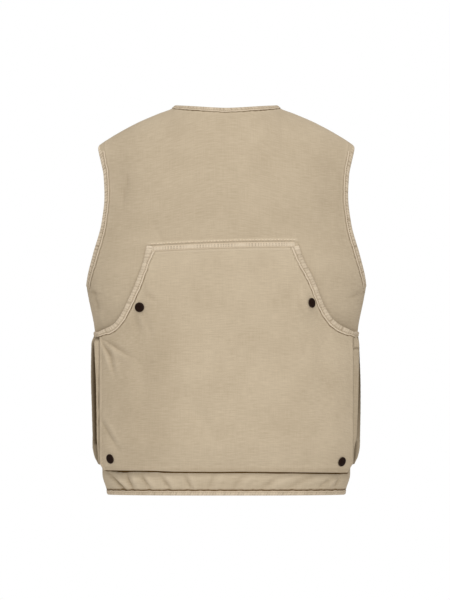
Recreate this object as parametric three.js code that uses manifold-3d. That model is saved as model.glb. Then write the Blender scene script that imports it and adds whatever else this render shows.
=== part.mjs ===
// A sleeveless canvas work vest with bound edges and a bellows pocket across the whole back.
// Millimetres, +Z up. The wearer's back faces -Y and the wearer's right is +X.
// The origin lies between the two neck points, where the vest hangs on the shoulders.
// Heights are given as a drop below the origin, and distances from the middle line as out.
import * as THREE from "three";
import Module from "manifold-3d";

// Driving dimensions
const NECK_HALF = 82;
const NECK_RISE = 4.2;
const NECK_BACK_DROP = 2;
const NECK_BACK_CURVE = 1.4;
const NECK_FRONT_DROP = 165;
const NECK_FRONT_CURVE = 1.05;
const SHOULDER_HALF = 208.6;
const SHOULDER_DROP = 60.2;
const SHOULDER_ROUND = 150;
const UNDERARM_DROP = 293;
const FULL_FROM = 150;
const UPPER_FULLNESS = 0.7;
const LOWER_FULLNESS = 0.5;
const HEM_DROP = 635;
const HEM_RISE = 3;
const CANVAS = 1.8;
const SEAM_GAP = 0.8;
const FRONT_GAP = 1.4;

// Edge tape, folded flat round the cloth
const TAPE_THICK = 4;
const TAPE_REACH = 7.8;
const TAPE_NOSE = 1.2;
const TAPE_GAP = 0.35;
const TAPE_CLEAR = 8;
const TAPE_SMOOTHING = 2;

// Front placket
const PLACKET_WIDTH = 42;
const PLACKET_LIFT = 3.2;
const PLACKET_TOP_DROP = 184;
const PLACKET_BOTTOM_DROP = 624;

// Back pocket
const POCKET_TOP_DROP = 222.6;
const POCKET_TOP_TILT = 0.0287;
const POCKET_TOP_SAG = 2.2;
const POCKET_TOP_LEFT = 130;
const POCKET_TOP_RIGHT = 116;
const POCKET_HALF = 207;
const POCKET_BOTTOM_DROP = 596.7;
const POCKET_BOTTOM_TILT = 0.0133;
const POCKET_BOTTOM_RISE = 2.1;
const POCKET_RETURN_RISE = 6;
const POCKET_CORNER_CUT = 9;
const POCKET_CORNER_HEIGHT = 16;
const POCKET_CORNER_BELOW = 4;
const POCKET_FLATTEN = 0.07;
const POCKET_FLATTEN_FROM = 235;
const POCKET_BODY_GAP = 2.4;
const POCKET_SIDE_GAP = 14;
const BAND_HEIGHT = 12;
const BAND_ABOVE = 2.5;
const BAND_LEFT = 118;
const BAND_RIGHT = 105;
const BAND_WALL = 1.5;
const BAND_LIFT = 2.2;

// Bellows sides of the pocket
const GUSSET_TOP_DROP = 368;
const GUSSET_BOTTOM_DROP = 585;
const GUSSET_WALL = 1.4;
const GUSSET_PANEL_GAP = 2;
const GUSSET_BODY_GAP = 4;
const GUSSET_SIDE_DEPTH = 6;
const GUSSET_ARC = 2.5;

// Press studs
const SNAP_RADIUS = 7.7;
const SNAP_HEIGHT = 3;
const SNAP_RIM = 0.8;
const SNAP_BEVEL = 0.3;
const SNAP_GAP = 0.7;
const SNAP_SIDES = 18;

// The shoulder line from the middle of the neck out to the tip
const SHOULDER_LINE = [
  { out: 0, drop: -30 },
  { out: 42, drop: -23 },
  { out: 82, drop: -4.2 },
  { out: 92, drop: 1.4 },
  { out: 110, drop: 8 },
  { out: 126, drop: 14.6 },
  { out: 141, drop: 21.1 },
  { out: 154, drop: 27.5 },
  { out: 167, drop: 34.4 },
  { out: 179, drop: 41.2 },
  { out: 190, drop: 47.7 },
  { out: 200, drop: 54.1 },
  { out: 208.6, drop: 60.2 },
];

// Level sections of the back: half the width, and how far the middle stands behind the shoulder line
const BACK = {
  facing: -1,
  power: 2.35,
  armholeDepth: 55,
  sections: [
    { drop: 60.2, halfWidth: 208.6, midDepth: 114 },
    { drop: 65, halfWidth: 210, midDepth: 114.8 },
    { drop: 72, halfWidth: 208.8, midDepth: 115.7 },
    { drop: 84, halfWidth: 205.9, midDepth: 117 },
    { drop: 112, halfWidth: 200.2, midDepth: 119 },
    { drop: 145, halfWidth: 198.6, midDepth: 121 },
    { drop: 190, halfWidth: 203.5, midDepth: 123 },
    { drop: 242, halfWidth: 218, midDepth: 125 },
    { drop: 280, halfWidth: 227.5, midDepth: 125 },
    { drop: 293, halfWidth: 229.3, midDepth: 125 },
    { drop: 310, halfWidth: 226.6, midDepth: 125 },
    { drop: 365, halfWidth: 216.2, midDepth: 123 },
    { drop: 470, halfWidth: 209.5, midDepth: 121 },
    { drop: 599, halfWidth: 203, midDepth: 117 },
    { drop: 635, halfWidth: 194.5, midDepth: 115 },
  ],
};

// Level sections of the front, narrower at the armholes so that the back hides them
const FRONT = {
  facing: 1,
  power: 2.35,
  armholeDepth: 58,
  sections: [
    { drop: 60.2, halfWidth: 208.6, midDepth: 116 },
    { drop: 65, halfWidth: 208.4, midDepth: 117.4 },
    { drop: 84, halfWidth: 202, midDepth: 122 },
    { drop: 112, halfWidth: 195.5, midDepth: 126 },
    { drop: 145, halfWidth: 191.5, midDepth: 130 },
    { drop: 190, halfWidth: 195, midDepth: 134 },
    { drop: 242, halfWidth: 210, midDepth: 137 },
    { drop: 280, halfWidth: 225.5, midDepth: 138 },
    { drop: 293, halfWidth: 229.3, midDepth: 138 },
    { drop: 310, halfWidth: 226.6, midDepth: 138 },
    { drop: 365, halfWidth: 216.2, midDepth: 137 },
    { drop: 470, halfWidth: 209.5, midDepth: 134 },
    { drop: 599, halfWidth: 203, midDepth: 128 },
    { drop: 635, halfWidth: 194.5, midDepth: 124 },
  ],
};

// The curved hand openings of the pocket, from the top corner out to the side edge
const OPENING = [
  { leftOut: 130, rightOut: 116, drop: 230 },
  { leftOut: 133.6, rightOut: 126.5, drop: 254 },
  { leftOut: 140.3, rightOut: 137.2, drop: 273.5 },
  { leftOut: 147.1, rightOut: 145.3, drop: 291.5 },
  { leftOut: 155.7, rightOut: 152.2, drop: 310 },
  { leftOut: 164.1, rightOut: 160.3, drop: 328 },
  { leftOut: 174.6, rightOut: 172.2, drop: 346 },
  { leftOut: 185, rightOut: 185.2, drop: 357 },
  { leftOut: 207, rightOut: 207, drop: 366.5 },
];

// How far the pocket stands off the back on the way down
const POCKET_LIFT = [
  { drop: 221, lift: 4.2 },
  { drop: 260, lift: 4.6 },
  { drop: 300, lift: 6 },
  { drop: 368, lift: 9.5 },
  { drop: 470, lift: 15 },
  { drop: 560, lift: 19 },
  { drop: 605, lift: 17 },
];

// Broad folds of the pocket cloth: middle, half length along the run, half width, height, and the run's slope
// in degrees
const POCKET_FOLDS = [
  { out: -42, drop: 508, length: 46, width: 15, height: -3.2, run: 52 },
  { out: -150, drop: 470, length: 110, width: 20, height: -2.6, run: 86 },
  { out: 170, drop: 450, length: 100, width: 18, height: -2.2, run: 94 },
  { out: -186, drop: 408, length: 36, width: 9, height: 2.2, run: 62 },
  { out: -184, drop: 548, length: 34, width: 9, height: -2.4, run: 40 },
  { out: 125, drop: 322, length: 30, width: 13, height: 4.2, run: 78 },
  { out: 0, drop: 585, length: 230, width: 5, height: -1.4, run: 0 },
];

// Bellows profile from the pocket edge to the side of the body: stand-out beyond the straight line
const GUSSET_FOLDS = [
  { share: 0, standOut: 0 },
  { share: 0.2, standOut: 8 },
  { share: 0.48, standOut: -2.5 },
  { share: 0.76, standOut: 9.2 },
  { share: 1, standOut: 0 },
];

// How strongly the bellows are folded, and how far they stand out, on the way down
const GUSSET_RUN = [
  { run: 0, folded: 0, standOut: 0.6 },
  { run: 0.08, folded: 1, standOut: 0.56 },
  { run: 0.4, folded: 1, standOut: 0.95 },
  { run: 0.62, folded: 1, standOut: 1.1 },
  { run: 0.78, folded: 1, standOut: 1.2 },
  { run: 0.87, folded: 0.95, standOut: 1.2 },
  { run: 0.94, folded: 0.7, standOut: 1.2 },
  { run: 1, folded: 0.3, standOut: 1 },
];

// Press studs on the pocket
const SNAPS = [
  { name: "snap_upper_left", out: -140.7, drop: 327 },
  { name: "snap_upper_right", out: 137.5, drop: 320 },
  { name: "snap_lower_left", out: -189, drop: 574.5 },
  { name: "snap_lower_right", out: 187.8, drop: 579 },
];

// Grid lines: shares of the way out to the side edge, and of the way down to the hem
const NECK_SHARE = NECK_HALF / SHOULDER_HALF;
const SIDE_COLUMNS = [NECK_SHARE, 0.44, 0.53, 0.64, 0.75, 0.86, 0.955, 1];
const BACK_COLUMNS = [0, 0.1, 0.2, 0.29, 0.355, ...SIDE_COLUMNS];
const FRONT_COLUMNS = [FRONT_GAP / 2 / SHOULDER_HALF, 0.08, 0.16, 0.23, 0.29, 0.34, 0.375, ...SIDE_COLUMNS];
const BODY_ROWS = [
  0, 0.004, 0.018, 0.045, 0.085, 0.14, 0.21, 0.28, 0.332, 0.368, 0.39, 0.4, 0.4055,
  0.45, 0.53, 0.64, 0.75, 0.86, 0.94, 1,
];
const UNDERARM_ROW = 12;
const POCKET_MIDDLE_COLUMNS = 10;
const POCKET_ROWS = [0, 0.06, 0.15, 0.25, 0.36, 0.47, 0.58, 0.69, 0.79, 0.88, 0.94, 0.97, 1, 1.15, 2];
const BAND_COLUMNS = 12;
const GUSSET_COLUMNS = 10;
const GUSSET_ROWS = [0, 0.04, 0.1, 0.25, 0.45, 0.65, 0.78, 0.87, 0.94, 1];
const PLACKET_ROWS = 14;

const clamp = THREE.MathUtils.clamp;
const lerp = THREE.MathUtils.lerp;
const smoothstep = THREE.MathUtils.smoothstep;

// A smooth curve through one column of a table that never overshoots its rows
function through(table, along, column) {
  const at = table.map((row) => row[along]);
  const value = table.map((row) => row[column]);
  const last = at.length - 1;
  const rise = at.slice(1).map((next, i) => (value[i + 1] - value[i]) / (next - at[i]));
  const slope = value.map((_, i) => {
    const before = rise[Math.max(0, i - 1)];
    const after = rise[Math.min(last - 1, i)];
    return before * after > 0 ? (2 * before * after) / (before + after) : 0;
  });
  return (x) => {
    if (x <= at[0]) return value[0];
    if (x >= at[last]) return value[last];
    const i = at.findIndex((next) => next >= x) - 1;
    const span = at[i + 1] - at[i];
    const t = (x - at[i]) / span;
    const start = value[i] * (1 + 2 * t) + slope[i] * span * t;
    const end = value[i + 1] * (3 - 2 * t) - slope[i + 1] * span * (1 - t);
    return start * (1 - t) * (1 - t) + end * t * t;
  };
}

const shoulderDrop = through(SHOULDER_LINE, "out", "drop");
const pocketLift = through(POCKET_LIFT, "drop", "lift");
const gussetFold = through(GUSSET_FOLDS, "share", "standOut");
const gussetFolded = through(GUSSET_RUN, "run", "folded");
const gussetStandOut = through(GUSSET_RUN, "run", "standOut");
for (const side of [BACK, FRONT]) {
  side.halfWidth = through(side.sections, "drop", "halfWidth");
  side.midDepth = through(side.sections, "drop", "midDepth");
}

// How deep the edge of the armhole lies behind or before the shoulder plane; it closes round at the underarm
function armholeDepth(side, drop) {
  const middle = (SHOULDER_DROP + UNDERARM_DROP) / 2;
  const low = clamp((drop - middle) / (UNDERARM_DROP - middle), 0, 1);
  return side.armholeDepth * Math.sqrt(1 - low * low);
}

// How far a side of the body stands off the shoulder plane at one place
function bodyDepth(side, out, drop) {
  const middle = side.midDepth(drop);
  const fullness = lerp(UPPER_FULLNESS, LOWER_FULLNESS, smoothstep(drop, FULL_FROM, UNDERARM_DROP));
  const left = 1 - (armholeDepth(side, drop) / middle) ** (1 / fullness);
  const fullHalf = side.halfWidth(drop) / left ** (1 / side.power);
  const share = Math.min(1, Math.abs(out) / fullHalf);
  const below = clamp((drop - shoulderDrop(Math.abs(out))) / SHOULDER_ROUND, 0, 1);
  return middle * (1 - share ** side.power) ** fullness * Math.sqrt(1 - (1 - below) ** 2);
}

// Top edge of the back and of a front, by the share of the way out to the shoulder tip
function backTop(share) {
  const out = Math.abs(share) * SHOULDER_HALF;
  if (out >= NECK_HALF) return shoulderDrop(out);
  return lerp(NECK_BACK_DROP, -NECK_RISE, (out / NECK_HALF) ** NECK_BACK_CURVE);
}

function frontTop(share) {
  const out = Math.abs(share) * SHOULDER_HALF;
  if (out >= NECK_HALF) return shoulderDrop(out);
  return lerp(NECK_FRONT_DROP, -NECK_RISE, (out / NECK_HALF) ** NECK_FRONT_CURVE);
}

// A place on one side of the body, by the share of the way out and of the way down
function bodyPoint(side, top) {
  return (share, down) => {
    const hem = HEM_DROP - HEM_RISE * (1 - share * share);
    const drop = lerp(top(share), hem, down);
    const round = smoothstep(drop, FULL_FROM, UNDERARM_DROP);
    const spread = lerp(share, Math.sin((share * Math.PI) / 2), round);
    const out = spread * side.halfWidth(drop);
    const depth = bodyDepth(side, out, drop) + SEAM_GAP / 2;
    return new THREE.Vector3(out, side.facing * depth, -drop);
  };
}

// Outward direction of a surface, from two small steps along it
function facing(point, u, v, range, turn) {
  const stepU = (range.uMax - range.uMin) * 1e-3;
  const stepV = (range.vMax - range.vMin) * 1e-3;
  const alongU = point(Math.min(u + stepU, range.uMax), v).sub(point(Math.max(u - stepU, range.uMin), v));
  const alongV = point(u, Math.min(v + stepV, range.vMax)).sub(point(u, Math.max(v - stepV, range.vMin)));
  return alongU.cross(alongV).normalize().multiplyScalar(turn);
}

// A surface with its grid lines; turn is 1 or -1 so that the outward direction leaves the body
function surface(point, columns, rows, turn) {
  const range = {
    uMin: columns[0],
    uMax: columns[columns.length - 1],
    vMin: rows[0],
    vMax: rows[rows.length - 1],
  };
  return { point, columns, rows, normal: (u, v) => facing(point, u, v, range, turn) };
}

// Closed geometry from corners and faces, turned to face out
function closedGeometry(corners, faces) {
  let volume = 0;
  for (const [a, b, c] of faces) {
    volume += corners[a].dot(corners[b].clone().cross(corners[c]));
  }
  const ordered = volume > 0 ? faces : faces.map(([a, b, c]) => [a, c, b]);
  const geometry = new THREE.BufferGeometry();
  geometry.setAttribute("position", new THREE.Float32BufferAttribute(corners.flatMap((p) => p.toArray()), 3));
  geometry.setIndex(ordered.flat());
  geometry.computeVertexNormals();
  return geometry;
}

// A sheet of cloth: the surface thickened from the inner to the outer offset
function sheet(surf, inner, outer) {
  const corners = [];
  const across = surf.columns.length;
  const down = surf.rows.length;
  for (const offset of [outer, inner]) {
    for (const v of surf.rows) {
      for (const u of surf.columns) {
        corners.push(surf.point(u, v).addScaledVector(surf.normal(u, v), offset));
      }
    }
  }
  const layer = across * down;
  const faces = [];
  const quad = (a, b, c, d) => faces.push([a, b, c], [a, c, d]);
  for (let j = 0; j < down - 1; j += 1) {
    for (let i = 0; i < across - 1; i += 1) {
      const a = j * across + i;
      quad(a, a + 1, a + across + 1, a + across);
      quad(layer + a, layer + a + across, layer + a + across + 1, layer + a + 1);
    }
  }
  for (let i = 0; i < across - 1; i += 1) {
    const low = (down - 1) * across + i;
    quad(i, layer + i, layer + i + 1, i + 1);
    quad(low, low + 1, layer + low + 1, layer + low);
  }
  for (let j = 0; j < down - 1; j += 1) {
    const left = j * across;
    const right = left + across - 1;
    quad(left, left + across, layer + left + across, layer + left);
    quad(right, layer + right, layer + right + across, right + across);
  }
  return closedGeometry(corners, faces);
}

// Places along an edge of a surface, each with its outward direction and a place well inside the cloth
function edge(surf, places, inside) {
  return places.map(([u, v]) => ({
    at: surf.point(u, v),
    normal: surf.normal(u, v),
    hint: surf.point(...inside(u, v)),
  }));
}

// Outline of an edge tape, as distance into the cloth and height above it, and of the room cut for it
const TAPE_OUTLINE = [
  [TAPE_REACH, TAPE_THICK / 2],
  [0, TAPE_THICK / 2],
  [-TAPE_NOSE, TAPE_THICK / 5],
  [-TAPE_NOSE, -TAPE_THICK / 5],
  [0, -TAPE_THICK / 2],
  [TAPE_REACH, -TAPE_THICK / 2],
];
const TAPE_ROOM = [
  [TAPE_REACH + TAPE_GAP, TAPE_THICK / 2 + TAPE_GAP],
  [-TAPE_CLEAR, TAPE_CLEAR],
  [-TAPE_CLEAR, -TAPE_CLEAR],
  [TAPE_REACH + TAPE_GAP, -TAPE_THICK / 2 - TAPE_GAP],
];

// An outline swept along an edge of cloth; an open sweep is made longer at both ends by the overrun
function swept(path, closed, profile, overrun) {
  const count = path.length;
  const near = (list, i) => (closed ? list[(i + count) % count] : list[clamp(i, 0, count - 1)]);
  let normals = path.map((place) => place.normal);
  for (let pass = 0; pass < TAPE_SMOOTHING; pass += 1) {
    normals = normals.map((normal, i) => {
      const sum = normal.clone().multiplyScalar(2).add(near(normals, i - 1)).add(near(normals, i + 1));
      return sum.normalize();
    });
  }
  const corners = [];
  path.forEach((place, i) => {
    const tangent = near(path, i + 1).at.clone().sub(near(path, i - 1).at).normalize();
    const inward = tangent.clone().cross(normals[i]).normalize();
    if (inward.dot(place.hint.clone().sub(place.at)) < 0) inward.negate();
    const normal = normals[i].clone().addScaledVector(tangent, -normals[i].dot(tangent)).normalize();
    const at = place.at.clone();
    if (!closed && i === 0) at.addScaledVector(tangent, -overrun);
    if (!closed && i === count - 1) at.addScaledVector(tangent, overrun);
    for (const [out, height] of profile) {
      corners.push(at.clone().addScaledVector(inward, out).addScaledVector(normal, height));
    }
  });
  const sides = profile.length;
  const faces = [];
  const steps = closed ? count : count - 1;
  for (let i = 0; i < steps; i += 1) {
    const here = i * sides;
    const next = ((i + 1) % count) * sides;
    for (let k = 0; k < sides; k += 1) {
      const other = (k + 1) % sides;
      faces.push([here + k, here + other, next + other], [here + k, next + other, next + k]);
    }
  }
  if (!closed) {
    const last = (count - 1) * sides;
    for (let k = 1; k < sides - 1; k += 1) {
      faces.push([0, k + 1, k], [last, last + k, last + k + 1]);
    }
  }
  return closedGeometry(corners, faces);
}

const tape = ({ path, closed }) => swept(path, closed, TAPE_OUTLINE, 0);

// Solid arithmetic: a piece with the room for its tapes cut away
const wasm = await Module();
wasm.setup();

function solidOf(geometry) {
  const mesh = new wasm.Mesh({
    numProp: 3,
    vertProperties: new Float32Array(geometry.getAttribute("position").array),
    triVerts: new Uint32Array(geometry.index.array),
  });
  return new wasm.Manifold(mesh);
}

function cutBy(geometry, tapes) {
  let solid = solidOf(geometry);
  for (const { path, closed } of tapes) {
    solid = solid.subtract(solidOf(swept(path, closed, TAPE_ROOM, TAPE_GAP * 3)));
  }
  const mesh = solid.getMesh();
  const cut = new THREE.BufferGeometry();
  cut.setAttribute("position", new THREE.Float32BufferAttribute(Array.from(mesh.vertProperties), 3));
  cut.setIndex(Array.from(mesh.triVerts));
  cut.computeVertexNormals();
  return cut;
}

// Broad folds of the pocket at one place
function pocketFold(out, drop) {
  let height = 0;
  for (const fold of POCKET_FOLDS) {
    const turn = THREE.MathUtils.degToRad(fold.run);
    const alongX = out - fold.out;
    const alongZ = drop - fold.drop;
    const along = alongX * Math.cos(turn) + alongZ * Math.sin(turn);
    const across = alongZ * Math.cos(turn) - alongX * Math.sin(turn);
    height += fold.height * Math.exp(-((along / fold.length) ** 2) - (across / fold.width) ** 2);
  }
  return height;
}

// Half width of the pocket, with its lower corners cut off
function pocketHalf(drop) {
  const from = POCKET_BOTTOM_DROP - POCKET_CORNER_HEIGHT;
  const cut = smoothstep(drop, from, POCKET_BOTTOM_DROP + POCKET_CORNER_BELOW);
  return POCKET_HALF - POCKET_CORNER_CUT * cut;
}

// How far the pocket stands behind the shoulder plane
function pocketDepth(out, drop) {
  const flatten = POCKET_FLATTEN * smoothstep(drop, POCKET_FLATTEN_FROM, GUSSET_TOP_DROP);
  return bodyDepth(BACK, out * (1 - flatten), drop) + pocketLift(drop) + pocketFold(out, drop);
}

const openingLeft = through(OPENING, "leftOut", "drop");
const openingRight = through(OPENING, "rightOut", "drop");

// The top seam of the pocket, a little lower at its ends, and its bottom fold
function pocketTopLine(out) {
  const share = out / POCKET_TOP_LEFT;
  return POCKET_TOP_DROP - POCKET_TOP_TILT * out + POCKET_TOP_SAG * share * share;
}

function pocketTop(out) {
  if (out < -POCKET_TOP_LEFT) return openingLeft(-out);
  if (out > POCKET_TOP_RIGHT) return openingRight(out);
  return pocketTopLine(out);
}

function pocketBottom(out) {
  const share = out / POCKET_HALF;
  return POCKET_BOTTOM_DROP + POCKET_BOTTOM_TILT * out - POCKET_BOTTOM_RISE * (1 - share * share);
}

// A place on the pocket; past 1 the way down turns under and runs in to the back
function pocketPoint(across, down) {
  const drop = lerp(pocketTop(across), pocketBottom(across), Math.min(1, down));
  const out = (across * pocketHalf(drop)) / POCKET_HALF;
  const depth = pocketDepth(out, drop);
  const under = Math.max(0, down - 1);
  const gap = POCKET_BODY_GAP + POCKET_SIDE_GAP * Math.abs(across / POCKET_HALF) ** 6;
  const inner = bodyDepth(BACK, out, drop - POCKET_RETURN_RISE) + gap;
  return new THREE.Vector3(out, -lerp(depth, inner, under), -(drop - POCKET_RETURN_RISE * under));
}

// A place on the band along the top of the pocket
function bandPoint(out, down) {
  const drop = pocketTopLine(out) - BAND_ABOVE + BAND_HEIGHT * down;
  return new THREE.Vector3(out, -(pocketDepth(out, drop) + BAND_LIFT), -drop);
}

// A place on a bellows side, from the pocket edge to the side of the body and down
function gussetPoint(hand) {
  return (share, run) => {
    const drop = lerp(GUSSET_TOP_DROP, GUSSET_BOTTOM_DROP, run);
    const panelOut = pocketHalf(drop) + GUSSET_PANEL_GAP;
    const panelDepth = pocketDepth(hand * pocketHalf(drop), drop) - GUSSET_PANEL_GAP;
    const bodyOut = BACK.halfWidth(drop) + GUSSET_BODY_GAP;
    const arc = GUSSET_ARC * Math.sin(share * Math.PI);
    const standOut = lerp(arc, gussetFold(share), gussetFolded(run)) * gussetStandOut(run);
    const out = lerp(panelOut, bodyOut, share) + standOut;
    return new THREE.Vector3(hand * out, -lerp(panelDepth, GUSSET_SIDE_DEPTH, share), -drop);
  };
}

// Evenly spaced grid lines
function even(from, to, count) {
  return Array.from({ length: count + 1 }, (_, i) => lerp(from, to, i / count));
}

const canvas = () => new THREE.MeshStandardMaterial({ color: 0xc4b399, roughness: 0.92, metalness: 0 });
const trim = () => new THREE.MeshStandardMaterial({ color: 0xcbbaa0, roughness: 0.9, metalness: 0 });
const stud = () => new THREE.MeshStandardMaterial({ color: 0x2e231d, roughness: 0.42, metalness: 0.6 });

const vest = new THREE.Group();
vest.name = "vest";
function addPiece(name, geometry, material) {
  const mesh = new THREE.Mesh(geometry, material);
  mesh.name = name;
  vest.add(mesh);
  return mesh;
}

// Back and fronts
const mirrored = (shares) => [...shares].reverse().map((share) => -share);
const backColumns = [...mirrored(BACK_COLUMNS.slice(1)), ...BACK_COLUMNS];
const back = surface(bodyPoint(BACK, backTop), backColumns, BODY_ROWS, -1);
const frontRight = surface(bodyPoint(FRONT, frontTop), FRONT_COLUMNS, BODY_ROWS, 1);
const frontLeft = surface(bodyPoint(FRONT, frontTop), mirrored(FRONT_COLUMNS), BODY_ROWS, 1);

const downwards = (u, v) => [u, v + 0.2];
const upwards = (u, v) => [u, v - 0.2];

// Neck tape: up the right front, across the back and down the left front
const neckFront = FRONT_COLUMNS.filter((share) => share < NECK_SHARE);
const neckBack = backColumns.filter((share) => Math.abs(share) <= NECK_SHARE).reverse();
const neckTape = {
  closed: false,
  path: [
    ...edge(frontRight, neckFront.map((share) => [share, 0]), downwards),
    ...edge(back, neckBack.map((share) => [share, 0]), downwards),
    ...edge(frontLeft, mirrored(neckFront).map((share) => [share, 0]), downwards),
  ],
};
const neckMiddle = (neckTape.path.length - 1) / 2;
const neckRight = { closed: false, path: neckTape.path.slice(0, neckMiddle + 1) };
const neckLeft = { closed: false, path: neckTape.path.slice(neckMiddle) };

// Armhole tapes: down the back edge and up the front edge
const downRows = BODY_ROWS.slice(0, UNDERARM_ROW + 1);
const upRows = [...downRows].reverse().slice(1, -1);
function armholeTape(hand, front) {
  return {
    closed: true,
    path: [
      ...edge(back, downRows.map((row) => [hand, row]), (u, v) => [u * 0.75, v + 0.12]),
      ...edge(front, upRows.map((row) => [hand, row]), (u, v) => [u * 0.75, v + 0.12]),
    ],
  };
}
const armholeLeft = armholeTape(-1, frontLeft);
const armholeRight = armholeTape(1, frontRight);

// Hem tape round the whole lower edge, open at the front
const hemTape = {
  closed: false,
  path: [
    ...edge(frontRight, FRONT_COLUMNS.slice(0, -1).map((share) => [share, 1]), upwards),
    ...edge(back, [...backColumns].reverse().map((share) => [share, 1]), upwards),
    ...edge(frontLeft, mirrored(FRONT_COLUMNS).slice(1).map((share) => [share, 1]), upwards),
  ],
};

const cloth = (surf) => sheet(surf, -CANVAS / 2, CANVAS / 2);
addPiece("back_panel", cutBy(cloth(back), [neckTape, armholeLeft, armholeRight, hemTape]), canvas());
addPiece("front_left", cutBy(cloth(frontLeft), [neckLeft, armholeLeft, hemTape]), canvas());
addPiece("front_right", cutBy(cloth(frontRight), [neckRight, armholeRight, hemTape]), canvas());
addPiece("neck_binding", tape(neckTape), trim());
addPiece("armhole_binding_left", tape(armholeLeft), trim());
addPiece("armhole_binding_right", tape(armholeRight), trim());
addPiece("hem_binding", tape(hemTape), trim());

// Placket over the front opening
function placketPoint(out, down) {
  const drop = lerp(PLACKET_TOP_DROP, PLACKET_BOTTOM_DROP, down);
  return new THREE.Vector3(out, bodyDepth(FRONT, out, drop) + PLACKET_LIFT, -drop);
}
const placketColumns = even(-PLACKET_WIDTH / 2, PLACKET_WIDTH / 2, 2);
const placket = surface(placketPoint, placketColumns, even(0, 1, PLACKET_ROWS), 1);
addPiece("front_placket", cloth(placket), canvas());

// Pocket panel, with a grid line at each row of the openings
const openLeft = OPENING.map((row) => -row.leftOut).reverse();
const openRight = OPENING.map((row) => row.rightOut);
const inset = (POCKET_TOP_LEFT + POCKET_TOP_RIGHT) / POCKET_MIDDLE_COLUMNS;
const middle = even(-POCKET_TOP_LEFT + inset, POCKET_TOP_RIGHT - inset, POCKET_MIDDLE_COLUMNS - 2);
const pocket = surface(pocketPoint, [...openLeft, ...middle, ...openRight], POCKET_ROWS, -1);

// Bellows sides, and the tapes along the hand openings
function bellows(hand) {
  return surface(gussetPoint(hand), even(0, 1, GUSSET_COLUMNS), GUSSET_ROWS, -hand);
}
function openingTape(outs, gusset) {
  return {
    closed: false,
    path: [
      ...edge(pocket, outs.map((out) => [out, 0]), (u) => [u * 0.85, 0.35]),
      ...edge(gusset, gusset.columns.slice(1).map((share) => [share, 0]), downwards),
    ],
  };
}
const bellowsLeft = bellows(-1);
const bellowsRight = bellows(1);
const tapeLeft = openingTape([...openLeft].reverse(), bellowsLeft);
const tapeRight = openingTape(openRight, bellowsRight);
const bellowsCloth = (surf) => sheet(surf, -GUSSET_WALL / 2, GUSSET_WALL / 2);
addPiece("pocket_panel", cutBy(cloth(pocket), [tapeLeft, tapeRight]), canvas());
addPiece("pocket_gusset_left", cutBy(bellowsCloth(bellowsLeft), [tapeLeft]), canvas());
addPiece("pocket_gusset_right", cutBy(bellowsCloth(bellowsRight), [tapeRight]), canvas());
addPiece("pocket_binding_left", tape(tapeLeft), trim());
addPiece("pocket_binding_right", tape(tapeRight), trim());

// Band along the top of the pocket
const band = surface(bandPoint, even(-BAND_LEFT, BAND_RIGHT, BAND_COLUMNS), [0, 0.5, 1], -1);
addPiece("pocket_band", sheet(band, -BAND_WALL / 2, BAND_WALL / 2), trim());

// Press-stud caps, each square to the cloth under it
const capProfile = [
  [0, 0],
  [SNAP_RADIUS - SNAP_RIM, 0],
  [SNAP_RADIUS, SNAP_RIM],
  [SNAP_RADIUS - SNAP_BEVEL, SNAP_RIM * 1.8],
  [SNAP_RADIUS * 0.72, SNAP_HEIGHT * 0.8],
  [SNAP_RADIUS * 0.36, SNAP_HEIGHT * 0.96],
  [0, SNAP_HEIGHT],
];
// A place on the pocket by its true distance out and drop, as grid shares
function pocketPlace(out, drop) {
  const across = (out * POCKET_HALF) / pocketHalf(drop);
  const top = pocketTop(across);
  return [across, (drop - top) / (pocketBottom(across) - top)];
}
for (const snap of SNAPS) {
  const profile = capProfile.map(([out, height]) => new THREE.Vector2(out, height));
  const cap = new THREE.LatheGeometry(profile, SNAP_SIDES);
  const place = pocketPlace(snap.out, snap.drop);
  const at = pocket.point(...place);
  const normal = pocket.normal(...place);
  let seat = 0;
  for (let i = 0; i < SNAP_SIDES; i += 1) {
    const turn = (i / SNAP_SIDES) * Math.PI * 2;
    const rimOut = snap.out + SNAP_RADIUS * Math.cos(turn);
    const rimDrop = snap.drop + SNAP_RADIUS * Math.sin(turn);
    const rim = pocket.point(...pocketPlace(rimOut, rimDrop));
    seat = Math.max(seat, rim.sub(at).dot(normal));
  }
  const mesh = addPiece(snap.name, cap, stud());
  mesh.position.copy(at).addScaledVector(normal, seat + CANVAS / 2 + SNAP_GAP);
  mesh.quaternion.setFromUnitVectors(new THREE.Vector3(0, 1, 0), normal);
}

export default vest;
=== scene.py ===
# A sleeveless canvas work vest with bound edges and a bellows pocket across the whole back.
# Tables and shape functions are in millimetres. A drop is down from the origin, and out is from the middle.
import math

import bpy
import numpy as np
from mathutils import Matrix, Vector, kdtree


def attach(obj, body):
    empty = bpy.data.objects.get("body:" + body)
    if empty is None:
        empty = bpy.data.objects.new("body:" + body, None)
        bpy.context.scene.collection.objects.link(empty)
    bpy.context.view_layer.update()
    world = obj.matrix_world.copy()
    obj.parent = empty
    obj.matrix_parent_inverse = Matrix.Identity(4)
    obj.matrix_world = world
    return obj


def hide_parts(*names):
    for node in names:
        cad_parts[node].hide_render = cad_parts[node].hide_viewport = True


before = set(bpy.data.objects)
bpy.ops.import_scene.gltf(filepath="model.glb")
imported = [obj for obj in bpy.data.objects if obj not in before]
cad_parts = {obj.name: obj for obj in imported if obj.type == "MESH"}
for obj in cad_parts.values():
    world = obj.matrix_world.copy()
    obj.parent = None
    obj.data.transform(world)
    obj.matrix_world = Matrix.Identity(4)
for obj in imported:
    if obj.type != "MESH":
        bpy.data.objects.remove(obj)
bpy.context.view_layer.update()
bpy.ops.object.select_all(action="DESELECT")

MM = 0.001
TINY = 1e-9
SAME_PLACE = 1e-6
SLOPE_STEP = 1e-3

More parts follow.
